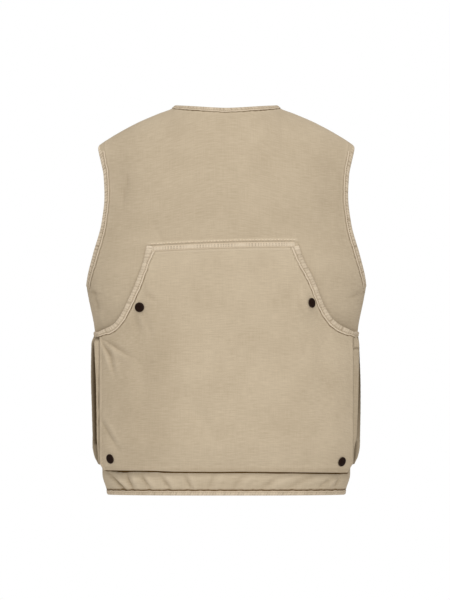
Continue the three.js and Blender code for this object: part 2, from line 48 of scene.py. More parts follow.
# Body sizes
NECK_HALF = 82
NECK_RISE = 4.2
NECK_BACK_DROP = 2
NECK_BACK_CURVE = 1.4
NECK_FRONT_DROP = 165
NECK_FRONT_CURVE = 1.05
SHOULDER_HALF = 208.6
SHOULDER_DROP = 60.2
SHOULDER_ROUND = 150
UNDERARM_DROP = 293
FULL_FROM = 150
UPPER_FULLNESS = 0.7
LOWER_FULLNESS = 0.5
HEM_DROP = 635
HEM_RISE = 3
CANVAS = 1.8
SEAM_GAP = 0.3
SIDE_GAP = 0.04
FRONT_GAP = 1.4

# Pocket, band and bellows sizes
POCKET_TOP_DROP = 223.8
POCKET_TOP_TILT = 0.0287
POCKET_TOP_SAG = 2.2
POCKET_TOP_LEFT = 127.8
POCKET_TOP_RIGHT = 116
POCKET_HALF = 207
POCKET_BOTTOM_DROP = 595.8
POCKET_BOTTOM_TILT = 0.0085
POCKET_BOTTOM_RISE = 2.1
POCKET_BOTTOM_SAG = 0.8
POCKET_SAG_START = (-118, -82)
POCKET_SAG_END = (-20, 32)
POCKET_LEFT_RISE = 0.45
POCKET_LEFT_RISE_END = (-130, -100)
POCKET_RETURN_RISE = 6
POCKET_CORNER_CUT = 9
POCKET_CORNER_HEIGHT = 16
POCKET_CORNER_BELOW = 4
POCKET_FLATTEN = 0.07
POCKET_FLATTEN_FROM = 235
POCKET_BODY_GAP = 2.4
POCKET_SIDE_GAP = 14
POCKET_SIDE_GAP_POWER = 6
BAND_HEIGHT = 7.9
BAND_ABOVE = 1.1
BAND_LEFT = 121
BAND_RIGHT = 111
BAND_WALL = 1.5
BAND_LIFT = 1.95
BAND_TUCK = 1.2
BAND_TUCK_LENGTH = 4
BAND_SEATED = (-0.25, 0.3)
GUSSET_TOP_DROP = 368
GUSSET_BOTTOM_DROP = 585
GUSSET_WALL = 1.4
GUSSET_PANEL_GAP = {-1: 1.4, 1: 0.5}
GUSSET_PANEL_DEPTH = {-1: 1.8, 1: 1.2}
GUSSET_BODY_GAP = 4
GUSSET_TOP_GAP = 1
GUSSET_TOP_RUN = 0.1
GUSSET_SIDE_DEPTH = 6
GUSSET_ARC = 1.5

# Placket sizes
PLACKET_WIDTH = 42
PLACKET_LIFT = 2.6
PLACKET_EDGE_LIFT = 2.1
PLACKET_EDGE = 8
PLACKET_TOP_DROP = 184
PLACKET_BOTTOM_DROP = 624

# Press-stud sizes
SNAP_RADIUS = 7.95
SNAP_HEIGHT = 2.2
SNAP_GAP = 0.35

# Edge tape sizes
TAPE_NOSE = 1.2
TAPE_STEP = 1.5
TAPE_INNER = 1.05
STITCH_PITCH = 3.3
STITCH_LENGTH = 2.5
STITCH_RADIUS = 0.4

# Smooth curves are drawn through these rows
SHOULDER_LINE = {
    "out": (0, 42, 82, 92, 110, 126, 141, 154, 167, 179, 190, 200, 208.6),
    "drop": (-30, -23, -4.2, 1.4, 8, 14.6, 21.1, 27.5, 34.4, 41.2, 47.7, 54.1, 60.2),
}
BACK = {
    "facing": -1,
    "power": 2.35,
    "armhole_depth": 55,
    "drop": (60.2, 65, 72, 84, 112, 145, 190, 242, 280, 293, 310, 365, 470, 599, 635),
    "half_width": (
        208.6, 210, 208.8, 205.9, 200.2, 198.6, 203.5, 218, 227.5, 229.3, 226.6, 216.2, 209.5, 203, 194.5,
    ),
    "mid_depth": (114, 114.8, 115.7, 117, 119, 121, 123, 125, 125, 125, 125, 123, 121, 117, 115),
}
FRONT = {
    "facing": 1,
    "power": 2.35,
    "armhole_depth": 58,
    "drop": (60.2, 65, 84, 112, 145, 190, 242, 280, 293, 310, 365, 470, 599, 635),
    "half_width": (208.6, 208.4, 202, 195.5, 191.5, 195, 210, 225.5, 229.3, 226.6, 216.2, 209.5, 203, 194.5),
    "mid_depth": (116, 117.4, 122, 126, 130, 134, 137, 138, 138, 138, 137, 134, 128, 124),
}
OPENING = {
    "left_out": (127.8, 134.6, 141.4, 148.2, 156.6, 164.9, 175.2, 185.3, 207),
    "right_out": (116, 126.5, 137.2, 145.3, 152.2, 160.3, 172.2, 185.2, 207),
    "drop": (226, 254, 273.5, 291.5, 310, 328, 346, 357, 367),
}
POCKET_LIFT = {
    "drop": (222, 232, 260, 300, 368, 470, 545, 585, 605),
    "lift": (2.3, 3.8, 4.6, 6, 9.5, 14, 14.2, 7.6, 3.6),
}
GUSSET_FOLDS = {
    "share": (0, 0.26, 0.42, 0.8, 1),
    "back": (0, 0.12, 0.17, 0.85, 1),
    "inner": (0, 1, 0, 0, 0),
    "valley": (0, 0, -5, 0, 0),
    "outer": (0, 0, 0, 1, 0),
}
GUSSET_RUN = {
    "run": (0, 0.08, 0.4, 0.62, 0.78, 0.87, 0.94, 1),
    "folded": (0, 1, 1, 1, 1, 0.95, 0.7, 0.3),
    "inner_left": (1, 4.6, 2.9, 2.7, 2.8, 2.0, 1.8, 1.5),
    "inner_right": (1, 6.4, 6.8, 6.0, 4.9, 1.6, 0.6, 0),
    "outer_left": (2, 5.0, 9.0, 9.5, 9.6, 10.8, 11.0, 7),
    "outer_right": (0.3, 1.8, 7.6, 9.4, 9.8, 10.6, 10.7, 7),
}
# Press studs: out and drop of each
SNAPS = {
    "snap_upper_left": (-140.7, 327),
    "snap_upper_right": (137.5, 320),
    "snap_lower_left": (-189, 574.5),
    "snap_lower_right": (187.8, 579),
}

# Soft folds: middle out and drop, half length, half width, height, and degrees below level towards +X
POCKET_FOLDS = (
    (-42, 508, 46, 15, -3.2, 52),
    (-134, 430, 100, 14, -2.4, 88),
    (156, 440, 110, 14, -2.2, 92),
    (-184, 548, 34, 9, -2.4, 40),
    (129, 321, 24, 12, 10.0, 78),
    (0, 584, 230, 5, -1.1, 0),
    (-195, 396, 15, 2.6, -3.4, 55),
    (-187, 415, 20, 2.8, -3.0, 80),
    (-199, 404, 26, 3.4, 2.2, 70),
    (-181, 412, 22, 4.0, 1.6, 74),
    (-178, 393, 30, 2.8, -3.0, 32),
    (-182, 400, 28, 3.6, 2.2, 34),
    (-192, 532, 26, 3.0, -2.8, 59),
    (-186, 529, 26, 3.8, 2.0, 60),
    (-138, 349, 14, 4.0, 2.2, 65),
    (-147, 354, 18, 4.6, -1.8, 78),
    (-128, 356, 22, 5.0, -1.6, 72),
    (-124, 310, 11, 4.0, -1.6, 35),
)
BACK_FOLDS = (
    (-162.5, 121, 16, 2.4, -1.0, 92),
    (-168, 147, 15, 2.4, -1.0, 92),
    (-172, 128, 60, 12, -1.2, 86),
    (168, 150, 70, 14, -1.6, 93),
    (-112, 205, 18, 5, -1.4, 64),
    (-40, 200, 16, 6, -1.0, 140),
    (-218, 303, 11, 2.4, -2.4, 15),
    (-212, 322, 22, 3.2, -2.4, 72),
    (-205, 342, 20, 3.6, 1.8, 70),
    (214, 306, 14, 3.0, -1.8, 160),
    (0, 607, 150, 11, 5.0, 0),
    (-145, 607, 34, 10, 3.4, 0),
    (145, 607, 34, 10, 3.4, 0),
    (-177, 614, 19, 2.6, -5.4, 46),
    (-168, 610, 15, 3.6, 4.2, 50),
    (-157, 611, 15, 2.8, -4.4, 70),
    (-146, 610, 14, 4.6, 3.4, 68),
    (-131, 610, 14, 2.8, -3.4, 60),
    (-122, 611, 14, 3.6, 3.0, 60),
    (-98, 612, 14, 2.8, -3.2, 55),
    (-90, 611, 13, 3.8, 2.6, 58),
    (-62, 611, 13, 2.8, -2.8, 62),
    (-53, 612, 14, 3.8, 2.4, 66),
    (-26, 612, 13, 3.2, -2.0, 112),
    (-12, 612, 14, 4.2, 1.8, 118),
    (18, 611, 14, 3.4, -1.8, 124),
    (32, 612, 14, 4.2, 1.8, 130),
    (70, 612, 18, 4.2, -2.2, 146),
    (92, 611, 20, 4.6, 2.4, 150),
    (116, 612, 22, 4.2, -1.7, 152),
    (140, 610, 24, 4.6, 1.6, 154),
    (160, 613, 12, 3.4, -2.4, 140),
    (172, 612, 9, 3.0, 2.4, 124),
    (181, 613, 10, 2.6, -2.8, 116),
)

# Folds narrower than this are sharp, and take this much painted shade in their valleys and painted light on
# their tops for each millimetre of height
SHARP_FOLD = 4.7
CREASE_SHADE = 0.07
CREASE_HIGHLIGHT = 0.12

# Waves that make up a wobble: height, and shares of its pitch and seed
WOBBLE_WAVES = ((1, 1, 1), (0.7, 1.73, 2.1), (0.5, 0.63, 3.7))

# Uneven strengths along a seam: middle, amount, pitch and seed
UNEVEN = {
    "tape gathers": (0.7, 0.3, 61, 0.4),
    "tape wear": (0, 0.25, 23, 0),
    "gaps in a line": (0.25, -0.45, 9, 0.2),
    "wear beside a tape": (0.6, 0.4, 8, 0),
    "row above the band": (0.85, 0.35, 7, 0.3),
    "line above the band": (0.55, 0.9, 41, 1.2),
    "row below the band": (0.8, 0.4, 7, 1.1),
    "band threads": (0.6, 0.6, 43, 1.4),
    "shadow of an opening": (0.8, 0.3, 19, 0.5),
    "pocket side": (0.22, 0.2, 26, 1.7),
    "bellows edge": (0.6, 0.5, 34, 0.6),
    "placket ripple": (0, 0.12, 7, 2.2),
    "bellows ripple": (0, 0.15, 9, 2.0),
}


def through(table, along, column):
    """A smooth curve through one column of a table that never overshoots its rows."""
    at = np.array(table[along], float)
    value = np.array(table[column], float)
    rise = np.diff(value) / np.diff(at)
    before = np.concatenate([rise[:1], rise])
    after = np.concatenate([rise, rise[-1:]])
    same_way = before * after > 0
    slope = np.where(same_way, 2 * before * after / np.where(same_way, before + after, 1), 0)

    def curve(x):
        x = np.clip(x, at[0], at[-1])
        i = np.clip(np.searchsorted(at, x) - 1, 0, len(at) - 2)
        gap = at[i + 1] - at[i]
        t = (x - at[i]) / gap
        start = value[i] * (1 + 2 * t) + slope[i] * gap * t
        end = value[i + 1] * (3 - 2 * t) - slope[i + 1] * gap * (1 - t)
        return start * (1 - t) ** 2 + end * t ** 2

    return curve


def lerp(a, b, t):
    return a + (b - a) * t


def smoothstep(x, low, high):
    t = np.clip((x - low) / (high - low), 0, 1)
    return t * t * (3 - 2 * t)


def wobble(along, pitch, seed):
    """An uneven wave along a seam, from -1 to 1, the same on every run."""
    wave = 0
    for height, stretch, shift in WOBBLE_WAVES:
        wave = wave + height * np.sin(2 * math.pi * along / (pitch * stretch) + shift * seed)
    return wave / sum(height for height, _, _ in WOBBLE_WAVES)


def span(x, start, end):
    """Rises from 0 to 1 over the start, and falls back to 0 over the end."""
    return smoothstep(x, *start) * (1 - smoothstep(x, *end))


def bump(distance, width):
    return np.exp(-((distance / width) ** 2))


def stripe(x, at, width):
    """A soft stripe by its place and half width, which a pair named AT holds."""
    return bump(x - at, width)


def uneven(name, along, seed=0):
    """A strength that varies along a seam, from a row of the table of uneven strengths."""
    middle, amount, pitch, own_seed = UNEVEN[name]
    return middle + amount * wobble(along, pitch, own_seed + seed)


def unit(vectors):
    return vectors / np.maximum(np.linalg.norm(vectors, axis=-1), TINY)[..., None]


shoulder_drop = through(SHOULDER_LINE, "out", "drop")
pocket_lift = through(POCKET_LIFT, "drop", "lift")
opening_left = through(OPENING, "left_out", "drop")
opening_right = through(OPENING, "right_out", "drop")
gusset_folded = through(GUSSET_RUN, "run", "folded")
gusset_back = through(GUSSET_FOLDS, "share", "back")
gusset_inner = through(GUSSET_FOLDS, "share", "inner")
gusset_valley = through(GUSSET_FOLDS, "share", "valley")
gusset_outer = through(GUSSET_FOLDS, "share", "outer")
for body_side in (BACK, FRONT):
    body_side["half_at"] = through(body_side, "drop", "half_width")
    body_side["mid_at"] = through(body_side, "drop", "mid_depth")


def soft_folds(table, out, drop):
    """The height of a table of soft folds at each place."""
    height = np.zeros(np.broadcast(out, drop).shape)
    for middle_out, middle_drop, length, width, rise, run in table:
        turn = math.radians(run)
        across_x = out - middle_out
        across_z = drop - middle_drop
        along = across_x * math.cos(turn) + across_z * math.sin(turn)
        across = across_z * math.cos(turn) - across_x * math.sin(turn)
        height = height + rise * np.exp(-((along / length) ** 2) - (across / width) ** 2)
    return height


def crease_tone(cloth, table):
    """Washed cloth: sharp folds get painted light on their tops and painted shade in their valleys, which
    also stand for the wear and kept colour of washed cloth.
    """
    sharp = [row for row in table if row[3] < SHARP_FOLD]
    height = soft_folds(sharp, cloth.out(), cloth.drop())
    cloth.darken(CREASE_SHADE * np.maximum(0, -height))
    cloth.rub(CREASE_HIGHLIGHT * np.maximum(0, height))


# Shape of the body
def armhole_depth(side, drop):
    middle = (SHOULDER_DROP + UNDERARM_DROP) / 2
    low = np.clip((drop - middle) / (UNDERARM_DROP - middle), 0, 1)
    return side["armhole_depth"] * np.sqrt(1 - low * low)


def body_depth(side, out, drop):
    middle = side["mid_at"](drop)
    fullness = lerp(UPPER_FULLNESS, LOWER_FULLNESS, smoothstep(drop, FULL_FROM, UNDERARM_DROP))
    left = 1 - (armhole_depth(side, drop) / middle) ** (1 / fullness)
    full_half = side["half_at"](drop) / left ** (1 / side["power"])
    share = np.minimum(1, np.abs(out) / full_half)
    below = np.clip((drop - shoulder_drop(np.abs(out))) / SHOULDER_ROUND, 0, 1)
    return middle * (1 - share ** side["power"]) ** fullness * np.sqrt(1 - (1 - below) ** 2)


def back_top(share):
    out = np.abs(share) * SHOULDER_HALF
    neck = lerp(NECK_BACK_DROP, -NECK_RISE, np.minimum(1, out / NECK_HALF) ** NECK_BACK_CURVE)
    return np.where(out >= NECK_HALF, shoulder_drop(out), neck)


def front_top(share):
    out = np.abs(share) * SHOULDER_HALF
    neck = lerp(NECK_FRONT_DROP, -NECK_RISE, np.minimum(1, out / NECK_HALF) ** NECK_FRONT_CURVE)
    return np.where(out >= NECK_HALF, shoulder_drop(out), neck)


def body_point(side, top):
    def point(share, down):
        hem = HEM_DROP - HEM_RISE * (1 - share * share)
        drop = lerp(top(share), hem, down)
        spread = lerp(share, np.sin(share * math.pi / 2), smoothstep(drop, FULL_FROM, UNDERARM_DROP))
        out = spread * side["half_at"](drop)
        depth = body_depth(side, out, drop) + SIDE_GAP / 2
        return np.stack([out, side["facing"] * depth, -drop], axis=-1)

    return point


# Shape of the pocket
def pocket_half(drop):
    start = POCKET_BOTTOM_DROP - POCKET_CORNER_HEIGHT
    return POCKET_HALF - POCKET_CORNER_CUT * smoothstep(drop, start, POCKET_BOTTOM_DROP + POCKET_CORNER_BELOW)


def pocket_depth(out, drop):
    flatten = POCKET_FLATTEN * smoothstep(drop, POCKET_FLATTEN_FROM, GUSSET_TOP_DROP)
    depth = body_depth(BACK, out * (1 - flatten), drop)
    return depth + pocket_lift(drop) + soft_folds(POCKET_FOLDS, out, drop)


def pocket_top_line(out):
    share = out / POCKET_TOP_LEFT
    return POCKET_TOP_DROP - POCKET_TOP_TILT * out + POCKET_TOP_SAG * share * share


def pocket_top(out):
    line = np.where(out < -POCKET_TOP_LEFT, opening_left(-out), pocket_top_line(out))
    return np.where(out > POCKET_TOP_RIGHT, opening_right(out), line)


def pocket_bottom(out):
    share = out / POCKET_HALF
    sag = span(out, POCKET_SAG_START, POCKET_SAG_END)
    bow = POCKET_BOTTOM_RISE * (1 - share * share)
    bow = bow + POCKET_LEFT_RISE * (1 - smoothstep(out, *POCKET_LEFT_RISE_END))
    return POCKET_BOTTOM_DROP + POCKET_BOTTOM_TILT * out - bow + POCKET_BOTTOM_SAG * sag


def pocket_point(across, down):
    drop = lerp(pocket_top(across), pocket_bottom(across), np.minimum(1, down))
    out = across * pocket_half(drop) / POCKET_HALF
    under = np.maximum(0, down - 1)
    gap = POCKET_BODY_GAP + POCKET_SIDE_GAP * np.abs(across / POCKET_HALF) ** POCKET_SIDE_GAP_POWER
    inner = body_depth(BACK, out, drop - POCKET_RETURN_RISE) + gap
    depth = lerp(pocket_depth(out, drop), inner, under)
    return np.stack([out, -depth, -(drop - POCKET_RETURN_RISE * under)], axis=-1)


def band_point(out, down):
    drop = pocket_top_line(out) - BAND_ABOVE + BAND_HEIGHT * down
    cloth = body_depth(BACK, out, drop) + soft_folds(BACK_FOLDS, out, drop)
    seat = cloth + CANVAS / 2 + BAND_WALL / 2 + SEAM_GAP
    tucked = smoothstep(-out, BAND_LEFT - BAND_TUCK_LENGTH, BAND_LEFT)
    tucked = tucked + smoothstep(out, BAND_RIGHT - BAND_TUCK_LENGTH, BAND_RIGHT)
    lift = lerp(BAND_LIFT, BAND_TUCK, tucked)
    depth = lerp(seat, pocket_depth(out, drop) + lift, smoothstep(down, *BAND_SEATED))
    return np.stack([out, -depth, -drop], axis=-1)


def gusset_point(hand):
    side = "left" if hand < 0 else "right"
    inner_out = through(GUSSET_RUN, "run", "inner_" + side)
    outer_out = through(GUSSET_RUN, "run", "outer_" + side)

    def point(share, run):
        drop = lerp(GUSSET_TOP_DROP, GUSSET_BOTTOM_DROP, run)
        panel_out = pocket_half(drop) + GUSSET_PANEL_GAP[hand]
        panel_depth = pocket_depth(hand * pocket_half(drop), drop) - GUSSET_PANEL_DEPTH[hand]
        body_gap = lerp(GUSSET_TOP_GAP, GUSSET_BODY_GAP, smoothstep(run, 0, GUSSET_TOP_RUN))
        body_out = BACK["half_at"](drop) + body_gap
        arc = GUSSET_ARC * np.sin(share * math.pi)
        folds = gusset_inner(share) * inner_out(run) + gusset_outer(share) * outer_out(run)
        folds = folds + gusset_valley(share)
        out = lerp(panel_out, body_out, share) + lerp(arc, folds, gusset_folded(run))
        back = lerp(share, gusset_back(share), gusset_folded(run))
        return np.stack([hand * out, -lerp(panel_depth, GUSSET_SIDE_DEPTH, back), -drop], axis=-1)

    return point


def placket_point(out, down):
    drop = lerp(PLACKET_TOP_DROP, PLACKET_BOTTOM_DROP, down)
    edge = smoothstep(np.abs(out), PLACKET_WIDTH / 2 - PLACKET_EDGE, PLACKET_WIDTH / 2)
    lift = lerp(PLACKET_LIFT, PLACKET_EDGE_LIFT, edge)
    return np.stack([out, body_depth(FRONT, out, drop) + lift, -drop], axis=-1)


# Grids of cloth
class Cloth:
    """A grid of places on a surface, with its outward directions and flat lengths."""

    def __init__(self, point, columns, rows, outward):
        self.point = point
        self.u, self.v = np.meshgrid(np.array(columns, float), np.array(rows, float))
        self.places = point(self.u, self.v)
        self.turn = 1
        self.normals = self.directions()
        if (self.normals @ np.array(outward, float)).mean() < 0:
            self.turn = -1
            self.normals = -self.normals
        step_u = np.linalg.norm(np.diff(self.places, axis=1), axis=-1)
        step_v = np.linalg.norm(np.diff(self.places, axis=0), axis=-1)
        self.along_u = np.pad(np.cumsum(step_u, axis=1), ((0, 0), (1, 0)))
        self.along_u -= self.along_u[:, self.along_u.shape[1] // 2][:, None]
        self.along_v = np.pad(np.cumsum(step_v, axis=0), ((1, 0), (0, 0)))
        self.along_v -= self.along_v[-1][None, :]
        # Wear holds real wear and painted light; seam holds dye in seams and painted shade
        self.wear = np.zeros(self.u.shape)
        self.seam = np.zeros(self.u.shape)

    def directions(self):
        along_u = np.gradient(self.places, axis=1)
        along_v = np.gradient(self.places, axis=0)
        return self.turn * unit(np.cross(along_u, along_v))

    def raise_by(self, height):
        self.places = self.places + self.normals * np.asarray(height)[..., None]

    def darken(self, amount):
        """Dye kept in a seam, and painted shade in a fold or a shadow, where it is more than what is there.
        """
        self.seam = np.maximum(self.seam, amount)

    def rub(self, amount):
        """Wear along a ridge, and painted light on fold tops and in shaded gaps, where it is more than what
        is there.
        """
        self.wear = np.maximum(self.wear, amount)

    def out(self):
        return self.places[..., 0]

    def drop(self):
        return -self.places[..., 2]


def even(low, high, count):
    return np.linspace(low, high, count)


def joined(*spans):
    return np.concatenate([part if i == 0 else part[1:] for i, part in enumerate(spans)])


# Edges that tapes follow
class Edge:
    """Places at even steps along an edge, with the directions outward and into the cloth."""

    # How a tape looks: the step and strength of its creases, the dye and painted shade of its stitch groove
    # and the painted light of its nose, which is painted shade when below nothing
    pitch = 5.6
    crease = 1
    groove = 0.75
    nose_light = 0
    # The dark line beside a tape: its strength, half width, distance from the tape and how broken it is
    line_dye = 0.9
    line_width = 0.9
    line_at = 0.5
    broken = 1

    def __init__(self, parts, smooth, closed=False):
        places = np.concatenate([part[0] for part in parts])
        normals = np.concatenate([part[1] for part in parts])
        inside = np.concatenate([part[2] for part in parts])
        if closed:
            places, normals, inside = (np.concatenate([a, a[:1]]) for a in (places, normals, inside))
        run = np.concatenate([[0], np.cumsum(np.linalg.norm(np.diff(places, axis=0), axis=1))])
        keep = np.concatenate([[True], np.diff(run) > SAME_PLACE])
        run, places, normals, inside = run[keep], places[keep], normals[keep], inside[keep]
        count = int(round(run[-1] / TAPE_STEP))
        self.length = run[-1]
        self.closed = closed
        self.run = np.linspace(0, run[-1], count + 1)
        if closed:
            self.run = self.run[:-1]
        resample = lambda values: np.stack([np.interp(self.run, run, values[:, k]) for k in range(3)], axis=1)
        self.places = self.soften(resample(places), 2)
        normals = unit(self.soften(resample(normals), smooth))
        tangents = unit(self.ahead(self.places, 1) - self.ahead(self.places, -1))
        normals = unit(normals - tangents * (normals * tangents).sum(1)[:, None])
        inward = np.cross(tangents, normals)
        towards = resample(inside) - self.places
        sign = np.where((inward * towards).sum(1) < 0, -1.0, 1.0)
        self.inward = inward * sign[:, None]
        self.normals = normals
        self.tangents = tangents
        # Shares of the tape's height and reach, the line's strength and added wear, at each step
        self.press = np.ones(len(self.run))
        self.narrow = np.ones(len(self.run))
        self.line = np.full(len(self.run), self.line_dye)
        self.rubbed = np.zeros(len(self.run))

    def ahead(self, values, step):
        if self.closed:
            return np.roll(values, -step, axis=0)
        index = np.clip(np.arange(len(values)) + step, 0, len(values) - 1)
        return values[index]

    def soften(self, values, times):
        for _ in range(times):
            values = (self.ahead(values, -1) + 2 * values + self.ahead(values, 1)) / 4
        return values

    def near(self, cloth, level=(1, 1, 1)):
        """Distance from each place of a cloth to this edge, and how far along the edge that is."""
        tree = kdtree.KDTree(len(self.places))
        for i, place in enumerate(self.places * level):
            tree.insert(Vector(place), i)
        tree.balance()
        found = [tree.find(Vector(p)) for p in (cloth.places * level).reshape(-1, 3)]
        shape = cloth.u.shape
        distance = np.array([f[2] for f in found]).reshape(shape)
        along = self.run[np.array([f[1] for f in found])].reshape(shape)
        return distance, along


def edge_part(cloth, places, inside):
    """Places along an edge of a cloth's surface, given as pairs of grid shares."""
    u, v = np.array(places, float).T
    u_low, u_high = cloth.u.min(), cloth.u.max()
    v_low, v_high = cloth.v.min(), cloth.v.max()
    step_u = (u_high - u_low) * SLOPE_STEP
    step_v = (v_high - v_low) * SLOPE_STEP
    along_u = cloth.point(np.minimum(u + step_u, u_high), v) - cloth.point(np.maximum(u - step_u, u_low), v)
    along_v = cloth.point(u, np.minimum(v + step_v, v_high)) - cloth.point(u, np.maximum(v - step_v, v_low))
    normals = np.cross(along_u, along_v) * cloth.turn
    return cloth.point(u, v), unit(normals), cloth.point(*inside(u, v))


# Meshes
def place_mesh(name, corners, faces, material):
    """A piece at the origin with its place in its mesh, from corners in millimetres."""
    mesh = bpy.data.meshes.new(name)
    mesh.from_pydata([tuple(c) for c in np.asarray(corners) * MM], [], faces)
    mesh.materials.append(material)
    piece = bpy.data.objects.new(name, mesh)
    bpy.context.scene.collection.objects.link(piece)
    mesh.polygons.foreach_set("use_smooth", [True] * len(mesh.polygons))
    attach(piece, "root")
    return piece


def point_values(piece, **columns):
    for name, values in columns.items():
        layer = piece.data.attributes.new(name, "FLOAT", "POINT")
        layer.data.foreach_set("value", np.asarray(values, np.float32).ravel())


def flat_map(piece, flat):
    """A map of the flat cut, in metres."""
    layer = piece.data.uv_layers.new(name="flat_cut")
    corner = np.empty(len(piece.data.loops), int)
    piece.data.loops.foreach_get("vertex_index", corner)
    places = np.asarray(flat).reshape(-1, 2)[corner] * MM
    layer.data.foreach_set("uv", places.astype(np.float32).ravel())


def apply_modifier(piece, kind, **settings):
    bpy.context.view_layer.objects.active = piece
    modifier = piece.modifiers.new(kind.lower(), kind)
    for name, value in settings.items():
        setattr(modifier, name, value)
    bpy.ops.object.modifier_apply(modifier=modifier.name)


def grid_faces(rows, columns, flip, wrap=False):
    faces = []
    last = columns if wrap else columns - 1
    for j in range(rows - 1):
        for i in range(last):
            a = j * columns + i
            b = j * columns + (i + 1) % columns
            c, d = b + columns, a + columns
            faces.append((d, c, b, a) if flip else (a, b, c, d))
    return faces


def sew_cloth(name, cloth, wall, material):
    """A cloth grid as a closed sheet of its thickness."""
    rows, columns = cloth.u.shape
    faces = grid_faces(rows, columns, cloth.turn < 0)
    piece = place_mesh(name, cloth.places.reshape(-1, 3), faces, material)
    flat_map(piece, np.stack([cloth.along_u, cloth.along_v], axis=-1))
    point_values(piece, wear=np.clip(cloth.wear, 0, 1), seam=np.clip(cloth.seam, 0, 1))
    apply_modifier(piece, "SOLIDIFY", thickness=wall * MM, offset=0, use_even_offset=False)
    return piece


# Folded tapes: heights over the cloth by the share of a tape's reach from the cloth edge
TAPE_CROWN = {
    "share": (-0.15, -0.06, 0.06, 0.28, 0.5, 0.62, 0.7, 0.78, 0.9, 0.97, 1.0),
    "height": (0.45, 1.25, 1.8, 2.1, 2.05, 1.75, 1.45, 1.75, 2.0, 1.75, 1.2),
}
NOSE_SHARE = 0.15
ROLL_SHARE = 0.1
CROWN_SHARE = 0.56
STITCH_SHARE = 0.7
GROOVE_SHARE = 0.86
RIDGE_SHARE = 0.88
RUBBED_SHARE = 0.89
INSIDE_FOLD = 0.4
INSIDE_FOLD_SHARE = 0.05
SWAY = 0.5
SWAY_PITCH = 17
SWAY_SEED = 0.9
tape_crown = through(TAPE_CROWN, "share", "height")

# Creases and gathers across a tape; a drift is an amount, a share of the pitch and a seed
CREASE_DRIFT = ((0.35, 4.3, 0), (0.2, 1.9, 2))
CREASE_DEPTH = 0.62
CREASE_UNEVEN = 0.38
CREASE_UNEVEN_STEP = 2.7
CREASE_LEAST = 0.1
CREASE_WIDTH = 0.17
CREASE_SLANT = 2.6
CREASE_SPAN = (-0.1, 0.62)
GATHER_ROUND = 0.6
GATHER_RISE = 0.4
GATHER_SINK = 1.3
RIDGE_RISE = 0.5
RIDGE_PITCH = 5.2
RIDGE_SHIFT = 1.1
RIDGE_SEED = 1.3
RIDGE_WIDTH = 0.1

# Dye, wear and painted shade of a tape
HOLE_LEAST = 0.4
GROOVE_WIDTH = 0.08
SEWN_EDGE_DYE = 0.3
SEWN_EDGE_WIDTH = 0.05
TAPE_CREASE_SHADE = 0.42
TAPE_WEAR = 0.5
RUBBED_WIDTH = 0.09
NOSE_WIDTH = 0.3


def sway(run, seed):
    """How far a tape's sewn edge wanders to either side."""
    return SWAY * wobble(run, SWAY_PITCH, seed + SWAY_SEED)


def tape_inward(shares, reach):
    """How far in from the cloth edge each share of a tape lies. Shares below nothing are its nose."""
    return np.where(shares < 0, shares / NOSE_SHARE * TAPE_NOSE, shares * reach)


def tape_outline(reach):
    """A tape's section: its outer face and nose, its under face, then the fold inside it."""
    shares = joined(even(1, GROOVE_SHARE, 4), even(GROOVE_SHARE, CROWN_SHARE, 7),
                    even(CROWN_SHARE, ROLL_SHARE, 7), even(ROLL_SHARE, -NOSE_SHARE, 5))
    top = np.stack([tape_inward(shares, reach), tape_crown(shares)], axis=1)
    under_shares = joined(even(-NOSE_SHARE, ROLL_SHARE, 4), even(ROLL_SHARE, 1, 6))
    under = np.stack([tape_inward(under_shares, reach), -tape_crown(under_shares)], axis=1)
    inner = np.array([(reach, -TAPE_INNER), (INSIDE_FOLD, -TAPE_INNER),
                      (INSIDE_FOLD, TAPE_INNER), (reach, TAPE_INNER)])
    inner_shares = (1, INSIDE_FOLD_SHARE, INSIDE_FOLD_SHARE, 1)
    outer = np.concatenate([np.ones(len(shares)), np.zeros(len(under_shares) + len(inner_shares))])
    return np.concatenate([top, under, inner]), np.concatenate([shares, under_shares, inner_shares]), outer


def creases(run, pitch, seed):
    """Narrow creases across a tape at uneven steps, 1 in a crease and 0 between."""
    phase = run / pitch
    for amount, stretch, shift in CREASE_DRIFT:
        phase = phase + amount * wobble(run, stretch * pitch, seed + shift)
    nearest = np.round(phase)
    depth = CREASE_DEPTH + CREASE_UNEVEN * wobble(nearest * pitch, CREASE_UNEVEN_STEP * pitch, seed + 1)
    return np.clip(depth, CREASE_LEAST, 1) * bump(np.abs(phase - nearest), CREASE_WIDTH)


def pucker(run, share, pitch, seed, amount):
    """Small crosswise gathers of a tape between its folded edge and its stitches."""
    across = np.clip((share + NOSE_SHARE) / (STITCH_SHARE + NOSE_SHARE), 0, 1)
    crown = np.clip(np.sin(math.pi * across), 0, 1) ** GATHER_ROUND
    gathers = crown * (GATHER_RISE - GATHER_SINK * creases(run + CREASE_SLANT * share, pitch, seed))
    ridge = RIDGE_RISE * wobble(run + RIDGE_SHIFT, RIDGE_PITCH, seed + RIDGE_SEED)
    ridge = ridge * stripe(share, RIDGE_SHARE, RIDGE_WIDTH)
    return amount * uneven("tape gathers", run, seed) * (gathers + ridge)


def tape_tone(path, run, share, seed):
    """How worn and how dark a tape is: its rubbed ridge and nose, painted shade in its creases, stitch holes
    with painted shade in their groove, and its sewn edge.
    """
    holes = 0.5 - 0.5 * np.cos(2 * math.pi * run / STITCH_PITCH)
    crease = path.crease * creases(run + CREASE_SLANT * share, path.pitch, seed)
    crease = crease * (share > CREASE_SPAN[0]) * (share < CREASE_SPAN[1])
    # Stitch holes with painted shade in their groove, and painted shade in the creases
    seam = path.groove * stripe(share, STITCH_SHARE, GROOVE_WIDTH) * lerp(HOLE_LEAST, 1, holes)
    seam = seam + SEWN_EDGE_DYE * stripe(share, 1, SEWN_EDGE_WIDTH) + TAPE_CREASE_SHADE * crease
    wear = TAPE_WEAR * (1 - crease) + uneven("tape wear", run, seed)
    wear = wear + stripe(share, RUBBED_SHARE, RUBBED_WIDTH) + path.rubbed[:, None]
    return wear + path.nose_light * bump(share, NOSE_WIDTH), seam * path.press[:, None]


